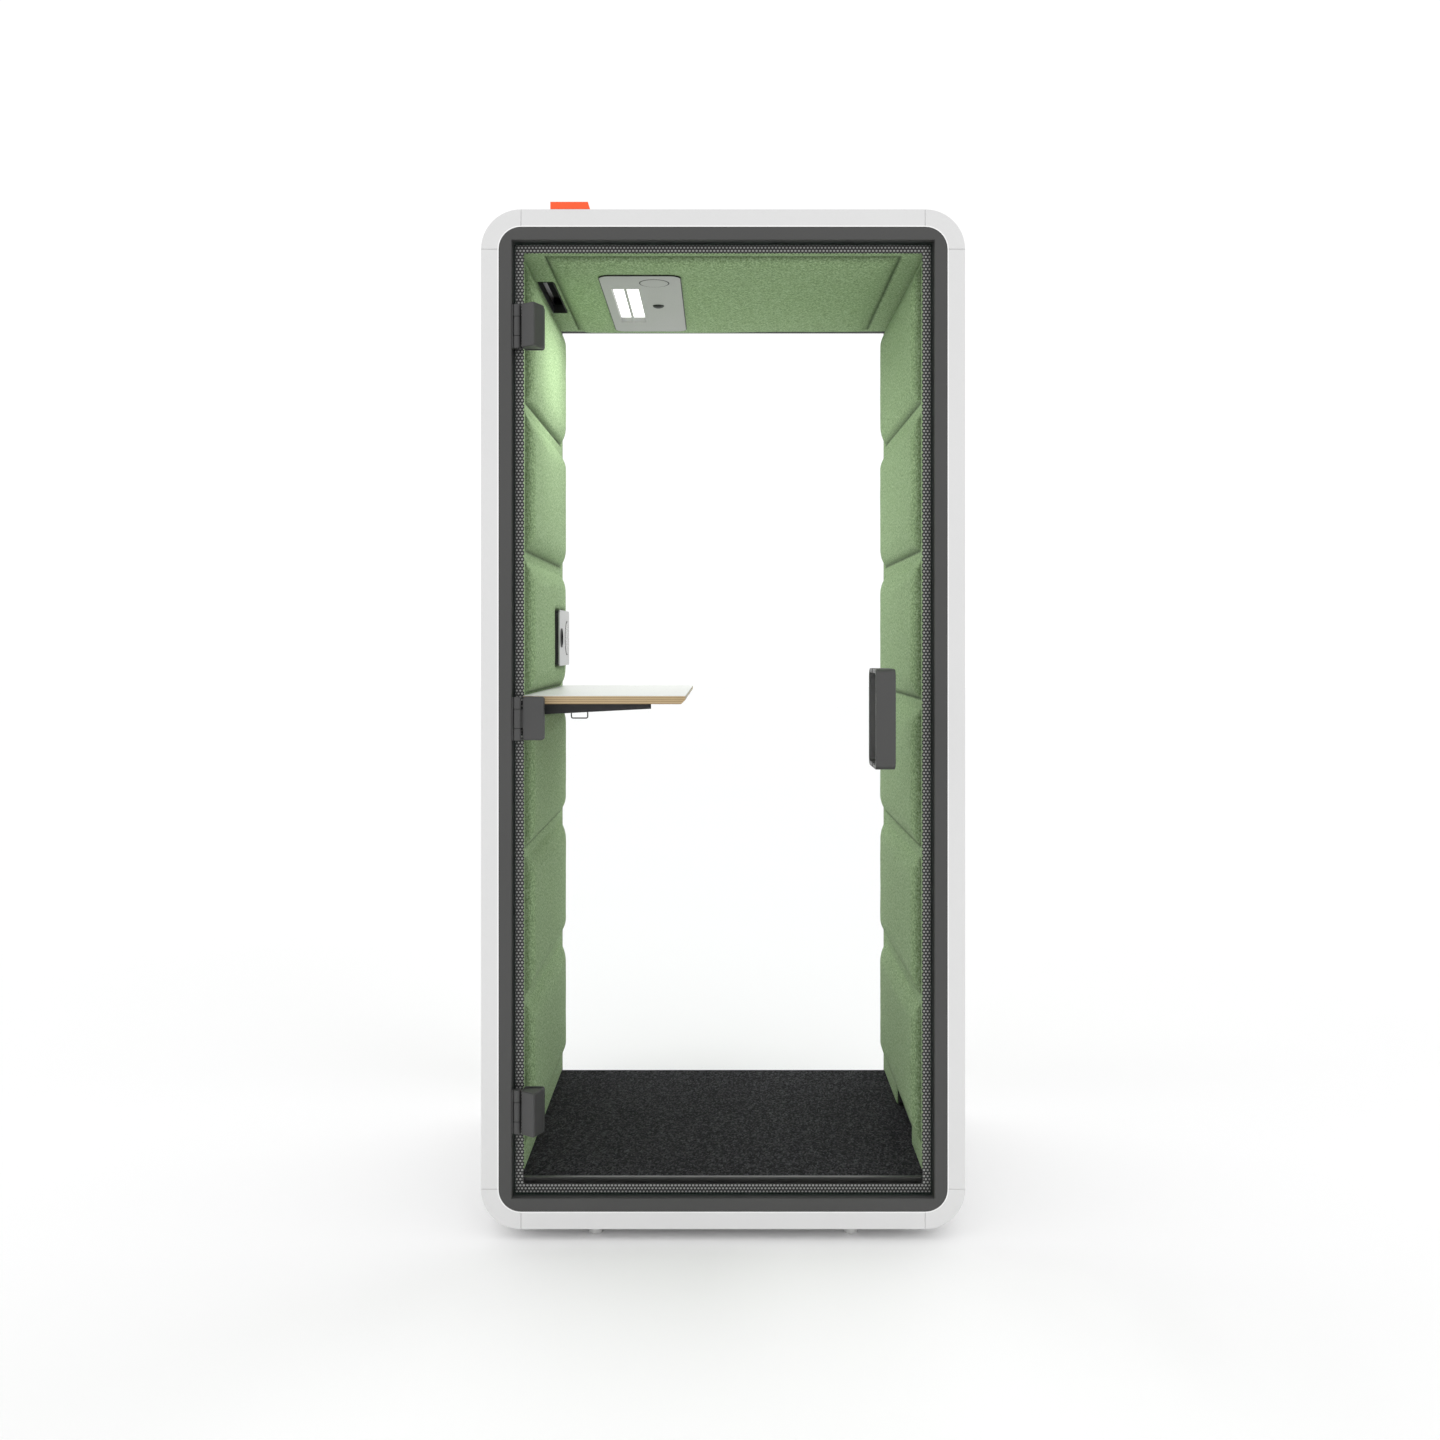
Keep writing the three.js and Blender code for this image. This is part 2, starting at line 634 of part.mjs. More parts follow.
function rearBead() {
  const outer = insetBounds(openBounds, FIT);
  return boundsRing(outer, BEAD_WIDTH, -glassFrontY + FIT, -glassFrontY + FIT + BEAD_DEPTH);
}

function addGlazing(pod) {
  const glazing = new THREE.Group();
  addMesh(glazing, "front_frame", glazingFrame(), FINISHES.darkGrey);
  const rear = addMesh(glazing, "rear_frame", glazingFrame(), FINISHES.darkGrey);
  rear.rotation.z = Math.PI;
  addMesh(glazing, "door_seal", doorSeal(), FINISHES.blackRubber);
  addMesh(glazing, "rear_glass", rearGlass(), FINISHES.glass);
  addMesh(glazing, "rear_gasket", rearGasket(), FINISHES.blackRubber);
  addMesh(glazing, "rear_glazing_bead", rearBead(), FINISHES.darkGrey);
  pod.add(glazing);
}

// Lining

function wallCore(side) {
  const [x0, x1] = [side * coreFaceX, side * (cavityHalfWidth - FIT)].sort((a, b) => a - b);
  const low = shellBottom + CORNER_RADIUS + FIT;
  const high = shellTop - CORNER_RADIUS - FIT;
  return block(x0, x1, -cabinHalfDepth, cabinHalfDepth, low, high);
}

function intakeBox(inset, x0, x1) {
  const low = INTAKE_OFFSET_Y - INTAKE_LENGTH / 2 + inset;
  const high = INTAKE_OFFSET_Y + INTAKE_LENGTH / 2 - inset;
  return block(x0, x1, low, high, padBottom + inset, padBottom + INTAKE_HEIGHT - inset);
}

function rightWallCore() {
  return cut(wallCore(1), intakeBox(INTAKE_MARGIN, coreFaceX - OVERSHOOT, coreFaceX + INTAKE_POCKET));
}

function leftWallPad() {
  const shelfBand = [bracketTop - BRACKET_ROOT - SHELF_PAD_CLEARANCE, shelfTop + SHELF_PAD_CLEARANCE];
  const hole = moduleBoxBlock(-RUNNING, -padBackX - OVERSHOOT, moduleBoxFaceX);
  return cut(wallPad(-1, [shelfBand]), hole);
}

function rightWallPad() {
  const reach = padFaceX - CROWN_RISE - OVERSHOOT;
  const notch = intakeBox(0, reach, padBackX + OVERSHOOT);
  const mouth = notch.clone().translate(0, 0, -INTAKE_HEIGHT / 2);
  return cut(wallPad(1, []), notch, mouth);
}

function ceilingPad() {
  const half = padBackX - FIT;
  const bandsX = [[CEILING_MARGIN_SIDE - half, half - CEILING_MARGIN_SIDE]];
  const bandsY = [[CEILING_MARGIN_END - cabinHalfDepth, cabinHalfDepth - CEILING_MARGIN_END]];
  const stationsX = padStations(-half, half, bandsX);
  const stationsY = padStations(-cabinHalfDepth, cabinHalfDepth, bandsY);
  const slab = crownedSlab(stationsX, stationsY, bandsX, bandsY, CEILING_CROWN);
  const down = WORLD_Z.clone().negate();
  const forwards = WORLD_Y.clone().negate();
  orient(slab, WORLD_X, forwards, down, new THREE.Vector3(0, 0, ceilingPadBack));
  const low = plateFace - OVERSHOOT;
  const high = ceilingPadBack + OVERSHOOT;
  return cut(
    slab,
    extrudeZ(centredRectangle(ventX, VENT_OFFSET_Y, VENT_WIDTH, VENT_LENGTH), low, high),
    extrudeZ(trayOutline(RUNNING), low, high),
    rodZ(columnX, sensorY, SENSOR_RADIUS + RUNNING, low, plateTop + SENSOR_DOME),
  );
}

function ceilingBoard() {
  const half = flatHalfWidth - FIT;
  const board = block(-half, half, -cabinHalfDepth, cabinHalfDepth, ceilingBoardBottom, cavityTop - FIT);
  const x0 = ventX - VENT_WIDTH / 2;
  const y0 = VENT_OFFSET_Y - VENT_LENGTH / 2;
  const plenum = block(
    x0,
    x0 + PLENUM_WIDTH,
    y0,
    y0 + VENT_LENGTH,
    ceilingBoardBottom - OVERSHOOT,
    ceilingBoardBottom + PLENUM_HEIGHT,
  );
  return cut(board, plenum, rodZ(fanX, fanY, FAN_BORE, ceilingBoardBottom, cavityTop + OVERSHOOT, FAN_SIDES));
}

// The floor follows the rounded shell corners with a chamfer along both sides.
function floorCore() {
  const low = cavityBottom + FIT;
  const half = padBackX - FIT;
  const inner = flatHalfWidth - FIT;
  const outline = polygon([
    [-inner, low],
    [inner, low],
    [half, low + FLOOR_CHAMFER],
    [half, floorTop],
    [-half, floorTop],
    [-half, low + FLOOR_CHAMFER],
  ]);
  return extrudeY(outline, -cabinHalfDepth, cabinHalfDepth);
}

function carpet() {
  const half = padBackX - FIT;
  return block(-half, half, -cabinHalfDepth, cabinHalfDepth, floorTop + FIT, carpetTop);
}

// An angle that covers the carpet's front edge and stands on the frame's lip.
function thresholdStrip() {
  const legBack = -cabinHalfDepth - FIT;
  const front = legBack - THRESHOLD_LEG;
  const top = carpetTop + FIT + THRESHOLD_SHEET;
  const outline = polygon([
    [front, lipBounds.low + FIT],
    [legBack, lipBounds.low + FIT],
    [legBack, carpetTop + FIT],
    [front + THRESHOLD_FLANGE, carpetTop + FIT],
    [front + THRESHOLD_FLANGE, top],
    [front, top],
  ]);
  return extrudeX(outline, -padFaceX + FIT, padFaceX - FIT);
}

function addLining(pod) {
  const lining = new THREE.Group();
  addMesh(lining, "left_wall_core", wallCore(-1), FINISHES.core);
  addMesh(lining, "right_wall_core", rightWallCore(), FINISHES.core);
  addMesh(lining, "left_wall_pad", leftWallPad(), FINISHES.greenFabric);
  addMesh(lining, "right_wall_pad", rightWallPad(), FINISHES.greenFabric);
  addMesh(lining, "ceiling_board", ceilingBoard(), FINISHES.core);
  addMesh(lining, "ceiling_pad", ceilingPad(), FINISHES.greenFabric);
  addMesh(lining, "floor_core", floorCore(), FINISHES.core);
  addMesh(lining, "carpet", carpet(), FINISHES.carpet);
  addMesh(lining, "threshold_strip", thresholdStrip(), FINISHES.aluminium);
  pod.add(lining);
}

// Ceiling services

function trayOutline(margin) {
  const width = LAMP_WIDTH + 2 * (TRAY_WALL + margin);
  return centredRectangle(lampX, lampY, width, LAMP_LENGTH + 2 * (TRAY_WALL + margin));
}

function servicePlate() {
  const outline = centredRectangle(plateX, PLATE_OFFSET_Y, PLATE_WIDTH, PLATE_LENGTH, PLATE_CORNER);
  const windowWidth = (LAMP_WIDTH - LAMP_BAR) / 2;
  const windows = [-1, 1].map((side) => {
    const x = lampX + (side * (LAMP_BAR + windowWidth)) / 2;
    return centredRectangle(x, lampY, windowWidth, LAMP_LENGTH);
  });
  const round = circle(columnX, coverY, COVER_RADIUS + RUNNING);
  const sensor = circle(columnX, sensorY, SENSOR_RADIUS + RUNNING);
  const tools = [...windows, round, sensor].map((shape) =>
    extrudeZ(shape, plateFace - OVERSHOOT, plateTop + OVERSHOOT),
  );
  return cut(extrudeZ(outline, plateFace, plateTop), ...tools);
}

// An open tray above the plate's two windows.
function lampTray() {
  const low = plateTop + FIT;
  const tray = extrudeZ(trayOutline(0), low, low + TRAY_HEIGHT);
  const hollow = extrudeZ(trayOutline(-TRAY_WALL), low - OVERSHOOT, low + TRAY_HEIGHT - TRAY_WALL);
  return cut(tray, hollow);
}

function lampDiffuser() {
  const outline = trayOutline(-TRAY_WALL - FIT);
  return extrudeZ(outline, plateTop + LAMP_RECESS, plateTop + LAMP_RECESS + LAMP_DIFFUSER);
}

function roundCover() {
  const profile = [
    [0, plateFace - COVER_PROUD],
    [COVER_RADIUS - COVER_PROUD, plateFace - COVER_PROUD],
    [COVER_RADIUS, plateFace],
    [COVER_RADIUS, plateTop],
    [0, plateTop],
  ];
  return revolve(profile, ROUND_SIDES).translate(columnX, coverY, 0);
}

function motionSensor() {
  const dome = DOME_STEPS.map((t) => {
    const angle = (t * Math.PI) / 2;
    return [SENSOR_RADIUS * Math.sin(angle), plateFace - SENSOR_DOME * Math.cos(angle)];
  });
  const profile = [...dome, [SENSOR_RADIUS, plateTop], [0, plateTop]];
  return revolve(profile).translate(columnX, sensorY, 0);
}

// A thin sleeve through the ceiling pad.
function ventDuct() {
  const width = VENT_WIDTH - 2 * FIT;
  const length = VENT_LENGTH - 2 * FIT;
  const sleeve = ring(
    centredRectangle(ventX, VENT_OFFSET_Y, width, length),
    centredRectangle(ventX, VENT_OFFSET_Y, width - 2 * DUCT_WALL, length - 2 * DUCT_WALL),
  );
  return extrudeZ(sleeve, ceilingFace, ceilingPadBack);
}

// A square fan housing with its motor on four struts and the shaft pointing down.
function fanFrame() {
  const body = centredRectangle(fanX, fanY, FAN_SIZE, FAN_SIZE, FAN_CORNER);
  body.holes.push(circle(fanX, fanY, FAN_BORE, FAN_SIDES));
  const low = fanTop - FAN_MOTOR_DEPTH;
  const half = FAN_STRUT / 2;
  const reach = FAN_BORE + OVERSHOOT;
  return join(
    extrudeZ(body, fanTop - FAN_DEPTH, fanTop),
    rodZ(fanX, fanY, FAN_HUB, low, fanTop),
    block(fanX - reach, fanX + reach, fanY - half, fanY + half, low, fanTop),
    block(fanX - half, fanX + half, fanY - reach, fanY + reach, low, fanTop),
    rodZ(fanX, fanY, FAN_SHAFT, low - FAN_ROTOR_DEPTH / 2, low + OVERSHOOT),
  );
}

// The rotor about its own axis, with its top at Z = 0.
function fanRotor() {
  const middle = -FAN_ROTOR_DEPTH / 2;
  const blades = Array.from({ length: FAN_BLADES }, (_, i) => {
    const length = FAN_BLADE_REACH - FAN_HUB / 2;
    const blade = new THREE.BoxGeometry(length, FAN_BLADE_CHORD, FAN_BLADE_THICKNESS);
    blade.rotateX((FAN_BLADE_PITCH * Math.PI) / 180);
    blade.translate((FAN_HUB / 2 + FAN_BLADE_REACH) / 2, 0, middle);
    return blade.rotateZ((i * 2 * Math.PI) / FAN_BLADES);
  });
  const rotor = join(rodZ(0, 0, FAN_HUB, -FAN_ROTOR_DEPTH, 0), ...blades);
  return cut(rotor, rodZ(0, 0, FAN_SHAFT + RUNNING, middle - FIT, OVERSHOOT));
}

function exhaustGrille() {
  const size = GRILLE_SIZE - 2 * FIT;
  const grille = centredRectangle(fanX, fanY, size, size);
  const field = GRILLE_SIZE - 2 * GRILLE_MARGIN;
  const pitch = field / GRILLE_SLOTS;
  for (let i = 0; i < GRILLE_SLOTS; i++) {
    const y = fanY - field / 2 + (i + 0.5) * pitch;
    grille.holes.push(centredRectangle(fanX, y, field, pitch * GRILLE_SLOT_SHARE));
  }
  return extrudeZ(grille, shellTop - GRILLE_SHEET + FIT, shellTop);
}

// The intake's plate of open slots, in rows and bays.
function intakeGrille() {
  const length = INTAKE_LENGTH - 2 * FIT;
  const height = INTAKE_HEIGHT - 2 * FIT;
  const middle = padBottom + INTAKE_HEIGHT / 2;
  const x0 = coreFaceX - FIT - INTAKE_PLATE;
  const x1 = coreFaceX - FIT;
  const slotLength = (length - 2 * INTAKE_MARGIN - (INTAKE_BAYS - 1) * INTAKE_BAR) / INTAKE_BAYS;
  const slotHeight = (height - 2 * INTAKE_MARGIN - (INTAKE_ROWS - 1) * INTAKE_BAR) / INTAKE_ROWS;
  const slots = [];
  for (let bay = 0; bay < INTAKE_BAYS; bay++) {
    const y = INTAKE_OFFSET_Y + (bay - (INTAKE_BAYS - 1) / 2) * (slotLength + INTAKE_BAR);
    for (let row = 0; row < INTAKE_ROWS; row++) {
      const z = middle + (row - (INTAKE_ROWS - 1) / 2) * (slotHeight + INTAKE_BAR);
      slots.push(extrudeX(centredRectangle(y, z, slotLength, slotHeight), x0 - OVERSHOOT, x1 + OVERSHOOT));
    }
  }
  return cut(extrudeX(centredRectangle(INTAKE_OFFSET_Y, middle, length, height), x0, x1), ...slots);
}

function addServices(pod) {
  const services = new THREE.Group();
  addMesh(services, "service_plate", servicePlate(), FINISHES.greyPlate);
  addMesh(services, "lamp_tray", lampTray(), FINISHES.greyPlate);
  addMesh(services, "lamp_diffuser", lampDiffuser(), FINISHES.lampWhite);
  addMesh(services, "round_cover", roundCover(), FINISHES.greyPlate);
  addMesh(services, "motion_sensor", motionSensor(), FINISHES.blackPlastic);
  addMesh(services, "vent_duct", ventDuct(), FINISHES.blackPlastic);
  addMesh(services, "fan_frame", fanFrame(), FINISHES.blackPlastic);
  const rotor = addMesh(services, "fan_rotor", fanRotor(), FINISHES.blackPlastic);
  rotor.position.set(fanX, fanY, fanTop - FAN_MOTOR_DEPTH - FIT);
  addMesh(services, "exhaust_grille", exhaustGrille(), FINISHES.blackPlastic);
  addMesh(services, "intake_grille", intakeGrille(), FINISHES.blackPlastic);
  pod.add(services);
}

// Furniture

function moduleBoxBlock(inset, x0, x1) {
  const halfY = MODULE_WIDTH / 2 - MODULE_BOX_INSET - inset;
  const halfZ = MODULE_HEIGHT / 2 - MODULE_BOX_INSET - inset;
  return block(x0, x1, MODULE_OFFSET - halfY, MODULE_OFFSET + halfY, moduleZ - halfZ, moduleZ + halfZ);
}

function socketY() {
  return MODULE_OFFSET + SOCKET_OFFSET;
}

function moduleBox() {
  const box = moduleBoxBlock(0, -padBackX, moduleBoxFaceX);
  const depth = moduleFaceX - SOCKET_BODY_DEPTH - FIT;
  return cut(box, rodX(socketY(), moduleZ, SOCKET_RADIUS + RUNNING, depth, moduleFaceX));
}

function modulePlate() {
  const plate = centredRectangle(MODULE_OFFSET, moduleZ, MODULE_WIDTH, MODULE_HEIGHT, MODULE_CORNER);
  const chargerY = MODULE_OFFSET + CHARGER_OFFSET;
  plate.holes.push(circle(socketY(), moduleZ, SOCKET_RADIUS + RUNNING));
  plate.holes.push(circle(chargerY, moduleZ, CHARGER_RADIUS + CHARGER_RING));
  return extrudeX(plate, moduleFaceX - MODULE_PLATE, moduleFaceX);
}

// A round socket with a deep well and two contact holes.
function moduleSocket() {
  const rim = moduleFaceX + FIT;
  const body = join(
    rodX(socketY(), moduleZ, SOCKET_RADIUS, moduleFaceX - SOCKET_BODY_DEPTH, rim + SOCKET_RIM),
    rodX(socketY(), moduleZ, SOCKET_RADIUS + SOCKET_RIM_WIDTH, rim, rim + SOCKET_RIM),
  );
  const wellBottom = moduleFaceX - SOCKET_WELL_DEPTH;
  const contacts = [-1, 1].map((side) => {
    const y = socketY() + (side * SOCKET_PIN_PITCH) / 2;
    const depth = wellBottom - SOCKET_PIN_DEPTH;
    return rodX(y, moduleZ, SOCKET_PIN_RADIUS, depth, wellBottom + OVERSHOOT, SOCKET_PIN_SIDES);
  });
  const mouth = rim + SOCKET_RIM + OVERSHOOT;
  return cut(body, rodX(socketY(), moduleZ, SOCKET_WELL_RADIUS, wellBottom, mouth), ...contacts);
}

function moduleCharger() {
  const y = MODULE_OFFSET + CHARGER_OFFSET;
  return rodX(y, moduleZ, CHARGER_RADIUS, moduleBoxFaceX + FIT, moduleFaceX + CHARGER_RISE, ROUND_SIDES);
}

function shelfBoard() {
  const wall = -padFaceX + FIT;
  const edge = -padFaceX + SHELF_REACH;
  const outline = polygon([
    [wall, shelfUnderside],
    [edge - SHELF_BEVEL, shelfUnderside],
    [edge, shelfUnderside + SHELF_BEVEL],
    [edge, shelfBoardTop],
    [wall, shelfBoardTop],
  ]);
  return extrudeY(outline, -cabinHalfDepth + SHELF_END_GAP, cabinHalfDepth - SHELF_END_GAP);
}

function shelfLaminate() {
  const wall = -padFaceX + FIT;
  const edge = -padFaceX + SHELF_REACH;
  const half = cabinHalfDepth - SHELF_END_GAP;
  return block(wall, edge, -half, half, shelfTop - SHELF_LAMINATE, shelfTop);
}

function bracketUnderside(x) {
  const fromWall = x + padFaceX - FIT;
  return bracketTop - BRACKET_ROOT + ((BRACKET_ROOT - BRACKET_TIP) * fromWall) / BRACKET_REACH;
}

// A tapered arm with a wall flange, made at Y = 0.
function shelfBracket() {
  const wall = -padFaceX + FIT;
  const tip = wall + BRACKET_REACH;
  const arm = polygon([
    [wall, bracketUnderside(wall)],
    [tip, bracketUnderside(tip)],
    [tip, bracketTop],
    [wall, bracketTop],
  ]);
  const half = BRACKET_FLANGE_WIDTH / 2;
  return join(
    extrudeY(arm, -BRACKET_THICKNESS / 2, BRACKET_THICKNESS / 2),
    block(wall, wall + BRACKET_FLANGE, -half, half, bracketTop - BRACKET_ROOT, bracketTop),
  );
}

// A bent wire whose two ends meet the front bracket's underside.
function bagHook() {
  const near = -padFaceX + HOOK_REACH;
  const far = near + HOOK_WIDTH;
  const low = bracketUnderside(near) - HOOK_DROP;
  const bend = HOOK_DROP / 3;
  const route = new THREE.CurvePath();
  const at = (x, z) => new THREE.Vector3(x, -bracketY, z);
  const leave = (x) => bracketUnderside(x) - FIT;
  route.add(new THREE.LineCurve3(at(near, leave(near)), at(near, low + bend)));
  route.add(new THREE.QuadraticBezierCurve3(at(near, low + bend), at(near, low), at(near + bend, low)));
  route.add(new THREE.LineCurve3(at(near + bend, low), at(far - bend, low)));
  route.add(new THREE.QuadraticBezierCurve3(at(far - bend, low), at(far, low), at(far, low + bend)));
  route.add(new THREE.LineCurve3(at(far, low + bend), at(far, leave(far))));
  const wire = new THREE.Shape().absarc(0, 0, HOOK_WIRE, 0, 2 * Math.PI);
  return new THREE.ExtrudeGeometry(wire, { steps: 26, curveSegments: 4, extrudePath: route });
}

function addFurniture(pod) {
  const furniture = new THREE.Group();
  addMesh(furniture, "shelf_board", shelfBoard(), FINISHES.plywood);
  addMesh(furniture, "shelf_laminate", shelfLaminate(), FINISHES.laminate);
  addMesh(furniture, "shelf_bracket_front", shelfBracket(), FINISHES.blackSteel).position.y = -bracketY;
  addMesh(furniture, "shelf_bracket_rear", shelfBracket(), FINISHES.blackSteel).position.y = bracketY;
  addMesh(furniture, "bag_hook", bagHook(), FINISHES.blackSteel);
  addMesh(furniture, "power_module_box", moduleBox(), FINISHES.blackPlastic);
  addMesh(furniture, "power_module_plate", modulePlate(), FINISHES.greyPlate);
  addMesh(furniture, "power_socket", moduleSocket(), FINISHES.blackPlastic);
  addMesh(furniture, "charging_disc", moduleCharger(), FINISHES.whitePlastic);
  pod.add(furniture);
}

// Door and hinges, each hinge made about Z = 0

// The leaf screwed to the jamb, with its outer knuckles and the pin that is fast in them.
function jambLeaf() {
  const half = HINGE_HEIGHT / 2;
  const plateX = -openBounds.half + FIT;
  const inner = CENTRE_KNUCKLE / 2 + KNUCKLE_SPLIT;
  const web = LEAF_WEB / 2;
  const pieces = [
    block(plateX, plateX + JAMB_LEAF, frontY, frontY + JAMB_LEAF_REACH, -half, half),
    rodZ(hingeX, hingeY, PIN_RADIUS, -half, half),
  ];
  for (const [low, high] of [[-half, -inner], [inner, half]]) {
    pieces.push(rodZ(hingeX, hingeY, KNUCKLE_RADIUS, low, high));
    pieces.push(block(plateX, hingeX, hingeY - web, hingeY + web, low, high));
  }
  return join(...pieces);
}

// The centre knuckle with the web that joins it to the plate on the glass.
function centreKnuckle() {
  const half = CENTRE_KNUCKLE / 2;
  const back = glassFrontY - FIT;
  return join(
    rodZ(hingeX, hingeY, KNUCKLE_RADIUS, -half, half),
    block(hingeX, leafX + OVERSHOOT, back - LEAF_WEB, back, -half, half),
  );
}

function doorLeaf(plate) {
  const bore = rodZ(hingeX, hingeY, PIN_RADIUS + RUNNING, -HINGE_HEIGHT, HINGE_HEIGHT);
  return cut(join(plate, centreKnuckle()), bore);
}

function flatLeaf() {
  const back = glassFrontY - FIT;
  const half = HINGE_HEIGHT / 2;
  const outline = rectangle(leafX, -half, leafX + LEAF_WIDTH, half, LEAF_PLATE);
  return doorLeaf(extrudeY(outline, back - LEAF_PLATE, back, EASED));
}

// A wedge-shaped cover that rises from the hinge edge to a ridge and falls steeply to the glass.
function wedgeLeaf() {
  const back = glassFrontY - FIT;
  const half = HINGE_HEIGHT / 2;
  const far = leafX + LEAF_WIDTH;
  const ridge = leafX + COVER_RIDGE_SHARE;
  const outline = polygon([
    [leafX, back],
    [leafX, back - COVER_NEAR_RISE],
    [ridge - LEAF_PLATE, back - COVER_RIDGE_RISE + LEAF_PLATE / 2],
    [ridge, back - COVER_RIDGE_RISE],
    [ridge + LEAF_PLATE / 2, back - COVER_RIDGE_RISE + LEAF_PLATE / 2],
    [far, back - COVER_FOOT_RISE],
    [far, back],
  ]);
  return doorLeaf(extrudeZ(outline, -half, half, EASED));
}

function studHeights() {
  return [-HINGE_STUD_PITCH / 2, HINGE_STUD_PITCH / 2];
}

// The plate inside the glass, with studs that pass through it to the leaf outside.
function clampPlate() {
  const half = HINGE_HEIGHT / 2;
  const face = glassBackY + FIT;
  const outline = rectangle(leafX, -half, leafX + LEAF_WIDTH, half, LEAF_PLATE);
  const studs = studHeights().map((z) =>
    rodY(leafX + LEAF_WIDTH / 2, z, HINGE_STUD_RADIUS, glassFrontY, face + OVERSHOOT),
  );
  return join(extrudeY(outline, face, face + CLAMP_PLATE), ...studs);
}

function handleStudHeights() {
  const offset = (HANDLE_LENGTH - HANDLE_BAR) / 2;
  return [handleZ - offset, handleZ + offset];
}

function doorGlass() {
  const pane = extrudeY(boundsShape(glassBounds, GLASS_CORNER), glassFrontY, glassBackY, EASED);
  const [front, back] = [glassFrontY - OVERSHOOT, glassBackY + OVERSHOOT];
  const hingeBores = Object.values(hingeHeights).flatMap((height) =>
    studHeights().map((z) =>
      rodY(leafX + LEAF_WIDTH / 2, height + z, HINGE_STUD_RADIUS + RUNNING, front, back),
    ),
  );
  const handleBores = handleStudHeights().map((z) =>
    rodY(handleX, z, HANDLE_STUD_RADIUS + RUNNING, front, back),
  );
  return cut(pane, ...hingeBores, ...handleBores);
}

// A flat bar bent twice into a bow, as [distance from the glass, height] about the handle's centre.
function handleOutline() {
  const half = HANDLE_LENGTH / 2;
  const reach = HANDLE_PROJECTION;
  const bend = HANDLE_BEND;
  const inner = HANDLE_BEND - HANDLE_BAR;
  const shape = new THREE.Shape();
  shape.moveTo(0, -half).lineTo(reach - bend, -half);
  shape.absarc(reach - bend, bend - half, bend, -Math.PI / 2, 0);
  shape.lineTo(reach, half - bend).absarc(reach - bend, half - bend, bend, 0, Math.PI / 2);
  shape.lineTo(0, half).lineTo(0, half - HANDLE_BAR).lineTo(reach - bend, half - HANDLE_BAR);
  shape.absarc(reach - bend, half - bend, inner, Math.PI / 2, 0, true);
  shape.lineTo(reach - HANDLE_BAR, bend - half);
  shape.absarc(reach - bend, bend - half, inner, 0, -Math.PI / 2, true);
  shape.lineTo(0, HANDLE_BAR - half);
  return shape;
}

// The handle on one side of the glass: outwards is -1 outside and 1 inside.
function pullHandle(outwards, seatY) {
  const bow = extrudeLocal(handleOutline(), HANDLE_WIDTH, { bevel: HANDLE_BEVEL, bevelSegments: 2 });
  bow.translate(0, 0, -HANDLE_WIDTH / 2);
  const away = WORLD_Y.clone().multiplyScalar(outwards);
  const across = WORLD_X.clone().multiplyScalar(outwards);
  return orient(bow, away, WORLD_Z, across, new THREE.Vector3(handleX, seatY, handleZ));
}

// The inner handle carries the two studs that hold both handles together.
function innerHandle() {
  const seat = glassBackY + FIT;
  const studs = handleStudHeights().map((z) =>
    rodY(handleX, z, HANDLE_STUD_RADIUS, glassFrontY, seat + HANDLE_BAR),
  );
  return join(pullHandle(1, seat), ...studs);
}

function addDoor(pod) {
  const door = new THREE.Group();
  addMesh(door, "door_glass", doorGlass(), FINISHES.glass);
  addMesh(door, "handle_outer", pullHandle(-1, glassFrontY - FIT), FINISHES.darkGrey);
  addMesh(door, "handle_inner", innerHandle(), FINISHES.darkGrey);
  for (const [name, height] of Object.entries(hingeHeights)) {
    const leaf = name === "middle" ? flatLeaf() : wedgeLeaf();
    addMesh(door, `hinge_leaf_${name}`, leaf, FINISHES.darkSteel).position.z = height;
    addMesh(door, `hinge_clamp_${name}`, clampPlate(), FINISHES.darkSteel).position.z = height;
    addMesh(pod, `hinge_jamb_${name}`, jambLeaf(), FINISHES.darkSteel).position.z = height;
  }
  pod.add(door);
}

// Feet and status lamp

function levellingFoot() {
  return revolve([
    [0, 0],
    [FOOT_RADIUS - FOOT_CHAMFER, 0],
    [FOOT_RADIUS, FOOT_CHAMFER],
    [FOOT_RADIUS, FOOT_PAD],
    [FOOT_STEM_RADIUS, FOOT_PAD + FOOT_NECK],
    [FOOT_STEM_RADIUS, FOOT_PAD + FOOT_NECK + FOOT_STEM_LENGTH],
    [0, FOOT_PAD + FOOT_NECK + FOOT_STEM_LENGTH],
  ]);
}

function addFeet(pod) {
  for (const [name, [x, y]] of Object.entries(footPlaces())) {
    addMesh(pod, `foot_${name}`, levellingFoot(), FINISHES.zinc).position.set(x, y, 0);
  }
}

